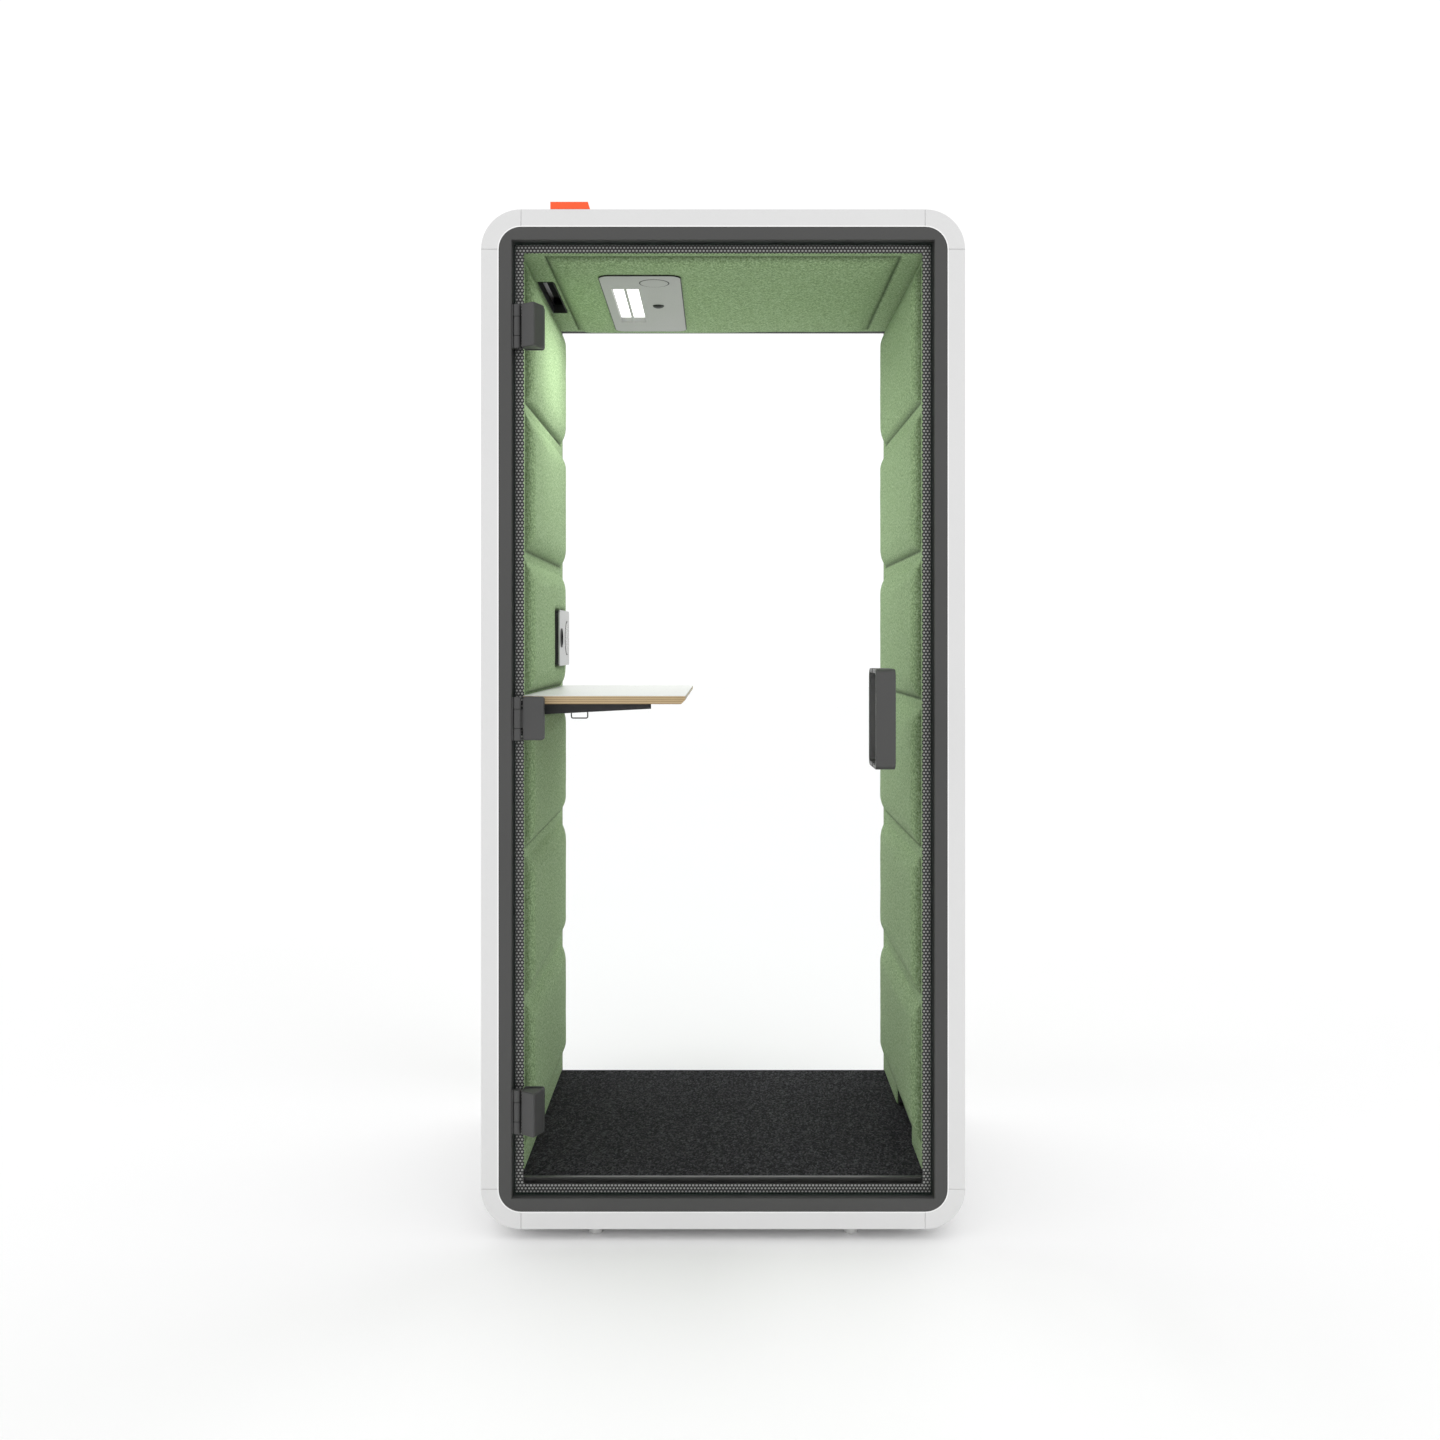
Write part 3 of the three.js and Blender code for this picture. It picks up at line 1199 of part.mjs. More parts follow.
// A lens with one leaning side, on a thin base.
function addStatusLamp(pod) {
  const x = -halfWidth + STATUS_ASIDE;
  const front = frontY + STATUS_SETBACK;
  const low = shellTop + FIT;
  const baseTop = low + STATUS_BASE;
  const lensLow = baseTop + FIT;
  const lensTop = lensLow + STATUS_HEIGHT;
  const half = STATUS_WIDTH / 2;
  const width = STATUS_WIDTH - 2 * STATUS_BASE_MARGIN;
  const depth = STATUS_DEPTH - 2 * STATUS_BASE_MARGIN;
  const base = centredRectangle(x, front + STATUS_DEPTH / 2, width, depth, STATUS_CORNER);
  const lens = polygon([
    [x - half, lensLow],
    [x + half, lensLow],
    [x + half - STATUS_SLOPE, lensTop],
    [x - half, lensTop],
  ]);
  addMesh(pod, "status_lamp_base", extrudeZ(base, low, baseTop), FINISHES.whitePlastic);
  addMesh(pod, "status_lamp_lens", extrudeY(lens, front, front + STATUS_DEPTH, EASED), FINISHES.orangeLens);
}

const pod = new THREE.Group();
pod.position.y = -(handleFrontY + backY) / 2; // the origin is under the middle of the pod and its handle
addShell(pod);
addGlazing(pod);
addLining(pod);
addServices(pod);
addFurniture(pod);
addDoor(pod);
addFeet(pod);
addStatusLamp(pod);

export default pod;
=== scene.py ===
import json
import math

import bmesh
import bpy
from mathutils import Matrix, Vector, noise


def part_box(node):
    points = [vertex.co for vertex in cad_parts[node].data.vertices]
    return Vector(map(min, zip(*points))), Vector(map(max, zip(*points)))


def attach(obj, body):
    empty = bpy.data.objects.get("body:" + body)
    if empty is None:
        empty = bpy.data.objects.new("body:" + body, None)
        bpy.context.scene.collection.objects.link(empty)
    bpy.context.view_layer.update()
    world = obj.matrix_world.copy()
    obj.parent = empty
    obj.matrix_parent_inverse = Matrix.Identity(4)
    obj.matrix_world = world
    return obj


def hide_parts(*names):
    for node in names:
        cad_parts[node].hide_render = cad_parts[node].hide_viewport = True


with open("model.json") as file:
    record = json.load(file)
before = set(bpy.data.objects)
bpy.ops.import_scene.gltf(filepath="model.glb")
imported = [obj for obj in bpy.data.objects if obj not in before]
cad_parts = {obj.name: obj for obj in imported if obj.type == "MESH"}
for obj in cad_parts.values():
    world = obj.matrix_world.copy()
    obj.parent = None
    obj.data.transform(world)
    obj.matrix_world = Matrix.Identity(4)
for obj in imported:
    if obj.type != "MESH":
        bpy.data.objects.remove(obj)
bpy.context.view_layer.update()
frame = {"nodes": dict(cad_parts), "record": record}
nodes = frame["nodes"]

# Pads, in metres
PAD_MARGIN = 0.05  # flat border in front of and behind the pillows
PAD_FOOT = 0.048  # flat strip along the carpet
PAD_ROWS = 6
PAD_BORDER = 0.0227  # thickness at the flat border
CHANNEL = 0.027  # flat strip between two pillows
SHOULDER = 0.044
BAND_SHOULDERS = 2.2  # a band narrower than this many shoulders takes shorter ones
CROWN = 0.0168
WALL_SWELL = 0.0022  # the most that the filling pushes a cover out
CEILING_CROWN = 0.0148
CEILING_SIDE = 0.07
CEILING_END = 0.03
CEILING_SWELL = 0.002
GRID = 0.0105
CREASE_STEP = 0.004
RIM_TURN = 0.97  # how much of the border's thickness the rim turns back
HELD_CROWN = 0.02  # cloth below this share of the crown is held by its crease
FILL_STEPS = 20  # frames of the cloth simulation
SHELF_ROOM = 0.004  # flat cloth above the shelf and below its bracket
COVER_GAP = 0.0004  # round a piece that stands in a cover
MOUTH_GAP = 0.0003  # round the intake grille
MOUTH_DROP = 0.01  # the intake mouth runs out through the foot of the pad
HOLE_SHADE_REACH = 0.002  # how far from the grille a face still takes the painted shade
PLATE_MARGIN = 0.02  # cloth held flat round the ceiling plate
SLACK = ((26.0, 0.0006), (70.0, 0.00025))  # unevenness of filled cloth: scale and height

# Seams, and the painted shade along them
SEAM_DEPTH = 0.007
# How far the painted seam shade reaches over the shoulder
SEAM_REACH = 0.006
# Painted shade: the colour that the cloth is multiplied by on a seam
PAINTED_SEAM_SHADE = (0.38, 0.38, 0.38, 1.0)
LOWER_SEAM = 0.6  # depth of a lower seam as a share of a side one
# The painted shade along a lower seam fades this many times faster
LOWER_FADE = 1.8

# Painted shade and highlight rings, and print
SKIN = 0.0002
FRAME_RADIUS = 0.0502
# Painted highlight: width of the white ring round each frame's outline
PAINTED_HIGHLIGHT_WIDTH = 0.0026
PLATE_RADIUS = 0.025
# Painted shade: widths of the black rings round the ceiling plate, its round cover and the charging disc
PLATE_PAINTED_SHADE = 0.0018
COVER_PAINTED_SHADE = 0.0028
DISC_PAINTED_SHADE = 0.003
FRIT_WIDTH = 0.021
FRIT_PITCH = 0.008
ROW_SHARE = 0.866  # row spacing of a staggered dot screen
FRIT_SOLID = 0.75  # share of the border before the print breaks up
FRIT_BREAK = 2.0  # how fast it breaks up from there
DOT_GROWTH = 0.12
INNER_FACE = 0.0005  # the print lies this close to the inner face
GRAIN_DEPTH = 0.00004

# Studio
DAYLIGHT = 1.06
FLOOR_SIZE = 80
CAMERA_AT = (0.0, -3.572, 1.3424)
LENS = 35.0
SENSOR = 36.0
LENS_SHIFT = (-0.00215, -0.0528)


# Materials

def start(name):
    material = bpy.data.materials.new(name)
    material.use_nodes = True
    tree = material.node_tree
    tree.nodes.clear()
    output = tree.nodes.new("ShaderNodeOutputMaterial")
    return material, tree, output


def principled(tree, output, roughness, metallic=0.0, **others):
    shader = tree.nodes.new("ShaderNodeBsdfPrincipled")
    shader.inputs["Roughness"].default_value = roughness
    shader.inputs["Metallic"].default_value = metallic
    for key, value in others.items():
        shader.inputs[key.replace("_", " ")].default_value = value
    tree.links.new(shader.outputs["BSDF"], output.inputs["Surface"])
    return shader


def place(tree, stretch=(1, 1, 1)):
    coordinates = tree.nodes.new("ShaderNodeTexCoord")
    if stretch == (1, 1, 1):
        return coordinates.outputs["Object"]
    mapping = tree.nodes.new("ShaderNodeMapping")
    mapping.inputs["Scale"].default_value = stretch
    tree.links.new(coordinates.outputs["Object"], mapping.inputs["Vector"])
    return mapping.outputs["Vector"]


def cloud(tree, scale, detail=3.0, roughness=0.55, stretch=(1, 1, 1)):
    texture = tree.nodes.new("ShaderNodeTexNoise")
    texture.inputs["Scale"].default_value = scale
    texture.inputs["Detail"].default_value = detail
    texture.inputs["Roughness"].default_value = roughness
    tree.links.new(place(tree, stretch), texture.inputs["Vector"])
    return texture.outputs["Fac"]


def ramp(tree, value, stops):
    node = tree.nodes.new("ShaderNodeValToRGB")
    elements = node.color_ramp.elements
    while len(elements) < len(stops):
        elements.new(0.5)
    for element, (position, colour) in zip(elements, stops):
        element.position = position
        element.color = (*colour, 1.0)
    tree.links.new(value, node.inputs["Fac"])
    return node.outputs["Color"]


def maths(tree, operation, a, b=None):
    node = tree.nodes.new("ShaderNodeMath")
    node.operation = operation
    for socket, value in zip(node.inputs, (a, b)):
        if value is None:
            continue
        if isinstance(value, (int, float)):
            socket.default_value = value
        else:
            tree.links.new(value, socket)
    return node.outputs["Value"]


def bump(tree, shader, height, strength, distance):
    node = tree.nodes.new("ShaderNodeBump")
    node.inputs["Strength"].default_value = strength
    node.inputs["Distance"].default_value = distance
    tree.links.new(height, node.inputs["Height"])
    tree.links.new(node.outputs["Normal"], shader.inputs["Normal"])


def tint(colour, by):
    return tuple(min(channel * by, 1.0) for channel in colour)


# A coat or a moulding: a colour that drifts a little, with a fine grain.
def coated(name, colour, roughness, metallic=0.0, grain=900.0, drift=0.04, stretch=(1, 1, 1)):
    material, tree, output = start(name)
    shader = principled(tree, output, roughness, metallic)
    patches = cloud(tree, 3.5, 4.0)
    low, high = tint(colour, 1 - drift), tint(colour, 1 + drift)
    tree.links.new(ramp(tree, patches, [(0.3, low), (0.7, high)]), shader.inputs["Base Color"])
    fine = cloud(tree, grain, 2.0, stretch=stretch)
    bump(tree, shader, fine, 0.35, GRAIN_DEPTH)
    wear = maths(tree, "MULTIPLY_ADD", fine, 0.12)
    wear.node.inputs[2].default_value = roughness - 0.06
    tree.links.new(wear, shader.inputs["Roughness"])
    return material


# Woollen cloth: a heather of three greens with the weave as relief, darkened along its seams by painted
# shade.
def woollen(name, dark, middle, light):
    material, tree, output = start(name)
    shader = principled(tree, output, 0.95, Sheen_Weight=0.04, Specular_IOR_Level=0.15)
    heather = cloud(tree, 210.0, 4.0, 0.75)
    fibres = ramp(tree, heather, [(0.34, dark), (0.5, middle), (0.66, light)])
    # Painted shade: the heather is multiplied towards dark grey by the mesh's seam weight.
    seam = tree.nodes.new("ShaderNodeAttribute")
    seam.attribute_name = "seam"
    painted_seam_shade_mix = tree.nodes.new("ShaderNodeMix")
    painted_seam_shade_mix.data_type = "RGBA"
    painted_seam_shade_mix.blend_type = "MULTIPLY"
    painted_seam_shade_mix.inputs["B"].default_value = PAINTED_SEAM_SHADE
    tree.links.new(seam.outputs["Fac"], painted_seam_shade_mix.inputs["Factor"])
    tree.links.new(fibres, painted_seam_shade_mix.inputs["A"])
    tree.links.new(painted_seam_shade_mix.outputs["Result"], shader.inputs["Base Color"])
    weave = cloud(tree, 420.0, 3.0, 0.7)
    bump(tree, shader, weave, 0.5, 0.001)
    return material


# Loop-pile carpet: dark tufts in loose rows.
def looped(name):
    material, tree, output = start(name)
    shader = principled(tree, output, 0.97, Specular_IOR_Level=0.1)
    tufts = tree.nodes.new("ShaderNodeTexVoronoi")
    tufts.inputs["Scale"].default_value = 260.0
    tufts.inputs["Randomness"].default_value = 0.85
    tree.links.new(place(tree, (1, 0.7, 1)), tufts.inputs["Vector"])
    yarn = cloud(tree, 260.0, 4.0, 0.8)
    tone = maths(tree, "MULTIPLY_ADD", tufts.outputs["Color"], 0.6)
    tree.links.new(maths(tree, "MULTIPLY", yarn, 0.5), tone.node.inputs[2])
    shadow, pile, glint = (0.008, 0.008, 0.009), (0.026, 0.026, 0.0285), (0.085, 0.085, 0.092)
    shades = ramp(tree, tone, [(0.25, shadow), (0.55, pile), (0.85, glint)])
    tree.links.new(shades, shader.inputs["Base Color"])
    bump(tree, shader, maths(tree, "SUBTRACT", yarn, tufts.outputs["Distance"]), 0.8, 0.003)
    return material


# Birch plywood: thin layers across the board's thickness, with grain along the edge.
def plied(name, low, high, layers):
    material, tree, output = start(name)
    shader = principled(tree, output, 0.5, Coat_Weight=0.15)
    split = tree.nodes.new("ShaderNodeSeparateXYZ")
    tree.links.new(place(tree), split.inputs["Vector"])
    height = maths(tree, "SUBTRACT", split.outputs["Z"], low)
    layer = maths(tree, "FRACT", maths(tree, "MULTIPLY", height, layers / (high - low)))
    grain = cloud(tree, 60.0, 6.0, 0.7, stretch=(1, 0.25, 12))
    mixed = maths(tree, "MULTIPLY_ADD", grain, 0.2)
    tree.links.new(maths(tree, "MULTIPLY", layer, 0.8), mixed.node.inputs[2])
    stops = [(0.18, (0.16, 0.09, 0.035)), (0.42, (0.46, 0.32, 0.16)), (0.9, (0.64, 0.5, 0.3))]
    tree.links.new(ramp(tree, mixed, stops), shader.inputs["Base Color"])
    bump(tree, shader, grain, 0.3, 0.0003)
    return material


# A lit face: a colour that glows over a body of another.
def lit(name, colour, strength, drift, under):
    material, tree, output = start(name)
    shader = principled(tree, output, 0.3)
    glow = cloud(tree, 14.0, 2.0)
    shade = ramp(tree, glow, [(0.2, tint(colour, 1 - drift)), (0.8, colour)])
    body = ramp(tree, glow, [(0.2, tint(under, 1 - drift)), (0.8, under)])
    shader.inputs["Emission Strength"].default_value = strength
    tree.links.new(shade, shader.inputs["Emission Color"])
    tree.links.new(body, shader.inputs["Base Color"])
    return material


# A dark printed border on the inner face of a pane. Its pale dots grow towards the middle, where the print
# breaks up. Returns how much print covers a place, and how far the place is from its dot, less the growth.
def border_print(tree, low, high):
    coordinates = tree.nodes.new("ShaderNodeTexCoord")
    split = tree.nodes.new("ShaderNodeSeparateXYZ")
    tree.links.new(coordinates.outputs["Object"], split.inputs["Vector"])
    x, z = split.outputs["X"], split.outputs["Z"]
    across = maths(tree, "MINIMUM", maths(tree, "SUBTRACT", x, low.x), maths(tree, "SUBTRACT", high.x, x))
    up = maths(tree, "MINIMUM", maths(tree, "SUBTRACT", z, low.z), maths(tree, "SUBTRACT", high.z, z))
    depth = maths(tree, "DIVIDE", maths(tree, "MINIMUM", across, up), FRIT_WIDTH)
    row = maths(tree, "DIVIDE", z, FRIT_PITCH * ROW_SHARE)
    shift = maths(tree, "MULTIPLY", maths(tree, "MODULO", maths(tree, "FLOOR", row), 2.0), 0.5)
    column = maths(tree, "ADD", maths(tree, "DIVIDE", x, FRIT_PITCH), shift)
    u = maths(tree, "SUBTRACT", maths(tree, "FRACT", column), 0.5)
    v = maths(tree, "SUBTRACT", maths(tree, "FRACT", row), 0.5)
    squares = maths(tree, "ADD", maths(tree, "MULTIPLY", u, u), maths(tree, "MULTIPLY", v, v))
    reach = maths(tree, "SQRT", squares)
    past_solid = maths(tree, "MAXIMUM", maths(tree, "SUBTRACT", depth, FRIT_SOLID), 0.0)
    fade = maths(tree, "MULTIPLY", past_solid, FRIT_BREAK)
    ink = maths(tree, "GREATER_THAN", reach, fade)
    inside = maths(tree, "LESS_THAN", depth, 1.0)
    inner_face = maths(tree, "GREATER_THAN", split.outputs["Y"], high.y - INNER_FACE)
    from_dot = maths(tree, "SUBTRACT", reach, maths(tree, "MULTIPLY", depth, DOT_GROWTH))
    cover = maths(tree, "MULTIPLY", maths(tree, "MULTIPLY", ink, inside), inner_face)
    return cover, from_dot


# Clear glass with a green cast in its polished edges.
def clear_pane(tree):
    facing = tree.nodes.new("ShaderNodeLayerWeight")
    facing.inputs["Blend"].default_value = 0.5
    share_of_mirror = maths(tree, "MULTIPLY", maths(tree, "POWER", facing.outputs["Facing"], 4.0), 0.35)
    coordinates = tree.nodes.new("ShaderNodeTexCoord")
    split = tree.nodes.new("ShaderNodeSeparateXYZ")
    tree.links.new(coordinates.outputs["Normal"], split.inputs["Vector"])
    flat = maths(tree, "ABSOLUTE", split.outputs["Y"])
    haze = maths(tree, "MULTIPLY_ADD", cloud(tree, 2.0, 2.0), 0.02)
    haze.node.inputs[2].default_value = -0.02
    stops = [(0.45, (0.35, 0.52, 0.45)), (0.9, (0.997, 0.999, 0.998))]
    cast = ramp(tree, maths(tree, "ADD", flat, haze), stops)
    clear = tree.nodes.new("ShaderNodeBsdfTransparent")
    tree.links.new(cast, clear.inputs["Color"])
    mirror = tree.nodes.new("ShaderNodeBsdfGlossy")
    mirror.inputs["Roughness"].default_value = 0.02
    pane = tree.nodes.new("ShaderNodeMixShader")
    tree.links.new(share_of_mirror, pane.inputs["Fac"])
    tree.links.new(clear.outputs["BSDF"], pane.inputs[1])
    tree.links.new(mirror.outputs["BSDF"], pane.inputs[2])
    return pane


def glazed(name):
    material, tree, output = start(name)
    tree.links.new(clear_pane(tree).outputs["Shader"], output.inputs["Surface"])
    return material


# Glass with the printed border of its node.
def printed_glass(name, node):
    material, tree, output = start(name)
    ink = principled(tree, output, 0.45)
    low, high = (Vector(corner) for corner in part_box(node))
    cover, from_dot = border_print(tree, low, high)
    dots = ramp(tree, from_dot, [(0.16, (0.34, 0.34, 0.33)), (0.3, (0.012, 0.012, 0.012))])
    tree.links.new(dots, ink.inputs["Base Color"])
    surface = tree.nodes.new("ShaderNodeMixShader")
    tree.links.new(cover, surface.inputs["Fac"])
    tree.links.new(clear_pane(tree).outputs["Shader"], surface.inputs[1])
    tree.links.new(ink.outputs["BSDF"], surface.inputs[2])
    tree.links.new(surface.outputs["Shader"], output.inputs["Surface"])
    return material


shelf_low, shelf_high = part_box("shelf_board")
LOOKS = {
    "white_shell": coated("white lacquer", (0.715, 0.715, 0.715), 0.42, drift=0.008),
    "dark_frame": coated("dark grey powder coat", (0.056, 0.056, 0.055), 0.5, grain=1500.0, drift=0.03),
    "black_rubber": coated("black rubber", (0.012, 0.012, 0.012), 0.75, drift=0.1),
    "core": woollen("black felt", (0.006, 0.006, 0.006), (0.012, 0.012, 0.012), (0.02, 0.02, 0.02)),
    "floor_board": coated("stained board", (0.05, 0.042, 0.036), 0.8, drift=0.1),
    "carpet": looped("black carpet"),
    "aluminium": coated(
        "dark brushed metal", (0.09, 0.09, 0.088), 0.38, 0.8, grain=160.0, stretch=(0.1, 8, 8),
    ),
    "grey_plate": coated("light grey coat", (0.36, 0.36, 0.355), 0.5, grain=1400.0, drift=0.03),
    "lamp_white": lit("lit opal", (1.0, 1.0, 0.99), 1.1, 0.03, (0.9, 0.9, 0.9)),
    "black_plastic": coated("black moulding", (0.014, 0.014, 0.015), 0.55, drift=0.1),
    "white_plastic": coated("white moulding", (0.8, 0.8, 0.8), 0.3, drift=0.02),
    "plywood": plied("birch plywood", shelf_low[2], shelf_high[2], 4),
    "white_laminate": coated("white laminate", (0.8, 0.785, 0.795), 0.35, drift=0.01),
    "black_steel": coated("black powder coat", (0.02, 0.02, 0.021), 0.5, grain=1600.0, drift=0.08),
    "handle_grey": coated("grey satin metal", (0.066, 0.066, 0.065), 0.42, 0.3, drift=0.04),
    "hinge_grey": coated("graphite satin metal", (0.066, 0.066, 0.066), 0.42, 0.3, drift=0.05),
    "zinc": coated("zinc plate", (0.7, 0.7, 0.69), 0.35, 0.6, drift=0.05),
    "orange_lens": lit("lit orange lens", (1.0, 0.125, 0.03), 0.36, 0.08, (0.68, 0.065, 0.008)),
}
GREEN = woollen("sage wool", (0.135, 0.205, 0.095), (0.265, 0.37, 0.198), (0.45, 0.585, 0.355))
LOOKS["green_fabric"] = GREEN
# Painted highlight: a white brighter than the shell, for a ring along the shell's edge round the frames
PAINTED_HIGHLIGHT_LOOK = coated("painted highlight edge", (0.93, 0.93, 0.93), 0.3, drift=0.01)
NODE_LOOKS = {
    "door_glass": printed_glass("door glass", "door_glass"),
    "rear_glass": glazed("rear glass"),
    "power_module_plate": coated(
        "satin silver", (0.42, 0.42, 0.42), 0.32, 0.7, grain=300.0, stretch=(1, 0.1, 8),
    ),
    "bag_hook": LOOKS["black_steel"],
    "charging_disc": coated("charging face", (0.3, 0.3, 0.3), 0.25, 0.4, drift=0.03),
}
for part in frame["record"]["subparts"]:
    look = NODE_LOOKS.get(part["node"]) or LOOKS.get(part["material_slot"])
    mesh = nodes[part["node"]].data
    if mesh.materials:
        mesh.materials[0] = look
    else:
        mesh.materials.append(look)


# Padded panels

# Grid lines from low to high, through every mark between them.
def stations(low, high, marks):
    stops = sorted({low, high, *[mark for mark in marks if low < mark < high]})
    lines = [stops[0]]
    for a, b in zip(stops, stops[1:]):
        count = max(1, round((b - a) / GRID))
        lines += [a + (b - a) * i / count for i in range(1, count + 1)]
    return lines


# How high a place stands on its band: 0 at the band's edge and 1 past the shoulder.
def share(value, bands):
    for low, high in bands:
        if low <= value <= high:
            reach = min(SHOULDER, (high - low) / BAND_SHOULDERS)
            t = min(min(value - low, high - value) / reach, 1.0)
            return math.sqrt(1 - (1 - t) ** 2)
    return 0.0


# How deep the sewn outline of a pillow lies at a place, as a share of the full depth. The top edge has no
# seam.
def seam_share(u, v, bands_u, bands_v):
    def within(value, bands):
        return any(low - SKIN < value < high + SKIN for low, high in bands)

    if any(min(abs(u - low), abs(u - high)) < SKIN for low, high in bands_u) and within(v, bands_v):
        return 1.0
    if any(abs(v - low) < SKIN for low, high in bands_v) and within(u, bands_u):
        return LOWER_SEAM
    return 0.0


# How much painted shade darkens the cloth along its seam: 1 on the seam, fading over the shoulder;
# narrower along a lower seam and none along the top edge.
def painted_seam_shade_weight(u, v, bands_u, bands_v):
    nearest = 1.0
    for low_u, high_u in bands_u:
        for low_v, high_v in bands_v:
            inside = min(u - low_u, high_u - u, (v - low_v) * LOWER_FADE)
            if inside > -SKIN and v < high_v + SKIN:
                nearest = min(nearest, max(inside, 0.0))
    return math.exp(-nearest / SEAM_REACH)


# A sheet over a grid of (u, v) lines with its rim turned back, cut away over the holes. The point function
# takes u, v and the height above the panel's back.
def padded_sheet(name, lines_u, lines_v, bands_u, bands_v, crown, holes, point):
    def open_at(u, v):
        return any(a < u < b and c < v < d for a, b, c, d in holes)

    shape = bmesh.new()
    # The seam layer holds the weight of the painted shade along the seams.
    seams = shape.verts.layers.float.new("seam")
    rows = []
    for v in lines_v:
        row = []
        for u in lines_u:
            swell = crown * share(u, bands_u) * share(v, bands_v)
            sunk = SEAM_DEPTH * seam_share(u, v, bands_u, bands_v)
            vert = shape.verts.new(point(u, v, PAD_BORDER + swell - sunk))
            vert[seams] = painted_seam_shade_weight(u, v, bands_u, bands_v)
            row.append((vert, swell))
        rows.append(row)
    for j in range(len(lines_v) - 1):
        for i in range(len(lines_u) - 1):
            u = (lines_u[i] + lines_u[i + 1]) / 2
            v = (lines_v[j] + lines_v[j + 1]) / 2
            if not open_at(u, v):
                corners = [rows[j][i], rows[j][i + 1], rows[j + 1][i + 1], rows[j + 1][i]]
                shape.faces.new([corner[0] for corner in corners])
    swollen = {vert: swell for row in rows for vert, swell in row}
    loose = [vert for vert in shape.verts if not vert.link_faces]
    bmesh.ops.delete(shape, geom=loose, context="VERTS")
    rim = [edge for edge in shape.edges if edge.is_boundary]
    turned = bmesh.ops.extrude_edge_only(shape, edges=rim)["geom"]
    back = [element for element in turned if isinstance(element, bmesh.types.BMVert)]
    inwards = Vector(point(0, 0, 0)) - Vector(point(0, 0, PAD_BORDER * RIM_TURN))
    for vert in back:
        vert.co += inwards
    shape.verts.index_update()
    raised = [vert for vert in shape.verts if swollen.get(vert, 0) > crown * HELD_CROWN]
    free = {vert.index for vert in raised if not vert.is_boundary}
    bmesh.ops.recalc_face_normals(shape, faces=shape.faces)
    mesh = bpy.data.meshes.new(name)
    shape.to_mesh(mesh)
    shape.free()
    pad = bpy.data.objects.new(name, mesh)
    bpy.context.scene.collection.objects.link(pad)
    outwards = -inwards.normalized()
    middle = max(mesh.polygons, key=lambda face: face.center.dot(outwards))
    if middle.normal.dot(outwards) < 0:
        mesh.flip_normals()
    mesh.materials.append(GREEN)
    for face in mesh.polygons:
        face.use_smooth = True
    return pad, free, outwards


# The opening in a cover round a box, with a gap on all four sides.
def hole_round(low, high, gap):
    return (low[0] - gap, high[0] + gap, low[1] - gap, high[1] + gap)


# Painted shade: the sides of a hole round a node take the given dark look.
def paint_hole_shade(pad, node, look):
    low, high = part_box(node)
    front, back, _, top = hole_round(low[1:], high[1:], HOLE_SHADE_REACH)
    pad.data.materials.append(look)
    for face in pad.data.polygons:
        _, y, z = face.center
        near = front < y < back and low[2] - MOUTH_DROP < z < top
        if abs(face.normal.x) < 0.5 and near:
            face.material_index = 1


# Foam filling: the cover swells under pressure between its held creases, by no more than the given reach.
def fill(pad, free, outwards, reach):
    rest = [vert.co.copy() for vert in pad.data.vertices]
    held = pad.vertex_groups.new(name="held")
    held.add([i for i in range(len(rest)) if i not in free], 1.0, "REPLACE")
    cloth = pad.modifiers.new("filling", "CLOTH")
    settings = cloth.settings
    settings.quality = 4
    settings.mass = 0.3
    settings.tension_stiffness = 12.0
    settings.compression_stiffness = 12.0
    settings.shear_stiffness = 4.0
    settings.bending_stiffness = 1.5
    settings.vertex_group_mass = "held"
    settings.use_pressure = True
    settings.uniform_pressure_force = 4.0
    settings.effector_weights.gravity = 0.0
    cloth.collision_settings.use_collision = False
    cloth.point_cache.frame_start = 1
    cloth.point_cache.frame_end = FILL_STEPS
    for step in range(1, FILL_STEPS + 1):
        bpy.context.scene.frame_set(step)
    shaped = pad.evaluated_get(bpy.context.evaluated_depsgraph_get())
    filled = [vert.co.copy() for vert in shaped.data.vertices]
    pad.modifiers.remove(cloth)
    bpy.context.scene.frame_set(1)
    for vert, old, new in zip(pad.data.vertices, rest, filled):
        move = new - old
        vert.co = old + (move * (reach / move.length) if move.length > reach else move)
    for index in free:
        spot = rest[index]
        slack = sum(noise.noise(spot * scale) * height for scale, height in SLACK)
        pad.data.vertices[index].co += outwards * slack
    rounding = pad.modifiers.new("rounding", "SUBSURF")
    rounding.levels = 1
    rounding.render_levels = 1


def finish_pad(pad, node):
    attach(pad, "pod")
    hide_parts(node)


# The bands of the pillows up a wall, between the channels and the stated flat strips.
def wall_rows(low, high, flats):
    pitch = (high - low - PAD_FOOT) / PAD_ROWS
    seams = [low + PAD_FOOT + i * pitch for i in range(PAD_ROWS + 1)]
    shut = sorted([(seam - CHANNEL / 2, seam + CHANNEL / 2) for seam in seams] + flats)
    rows = []
    start_at = shut[0][1]
    for a, b in shut[1:]:
        if a > start_at:
            rows.append((start_at, a))
        start_at = max(start_at, b)
    return rows


# Marks on each side of a crease, close together, so that the crease stays crisp.
def crease_marks(bands):
    edges = [edge for band in bands for edge in band]
    return [edge + step for edge in edges for step in (-CREASE_STEP, 0.0, CREASE_STEP)]


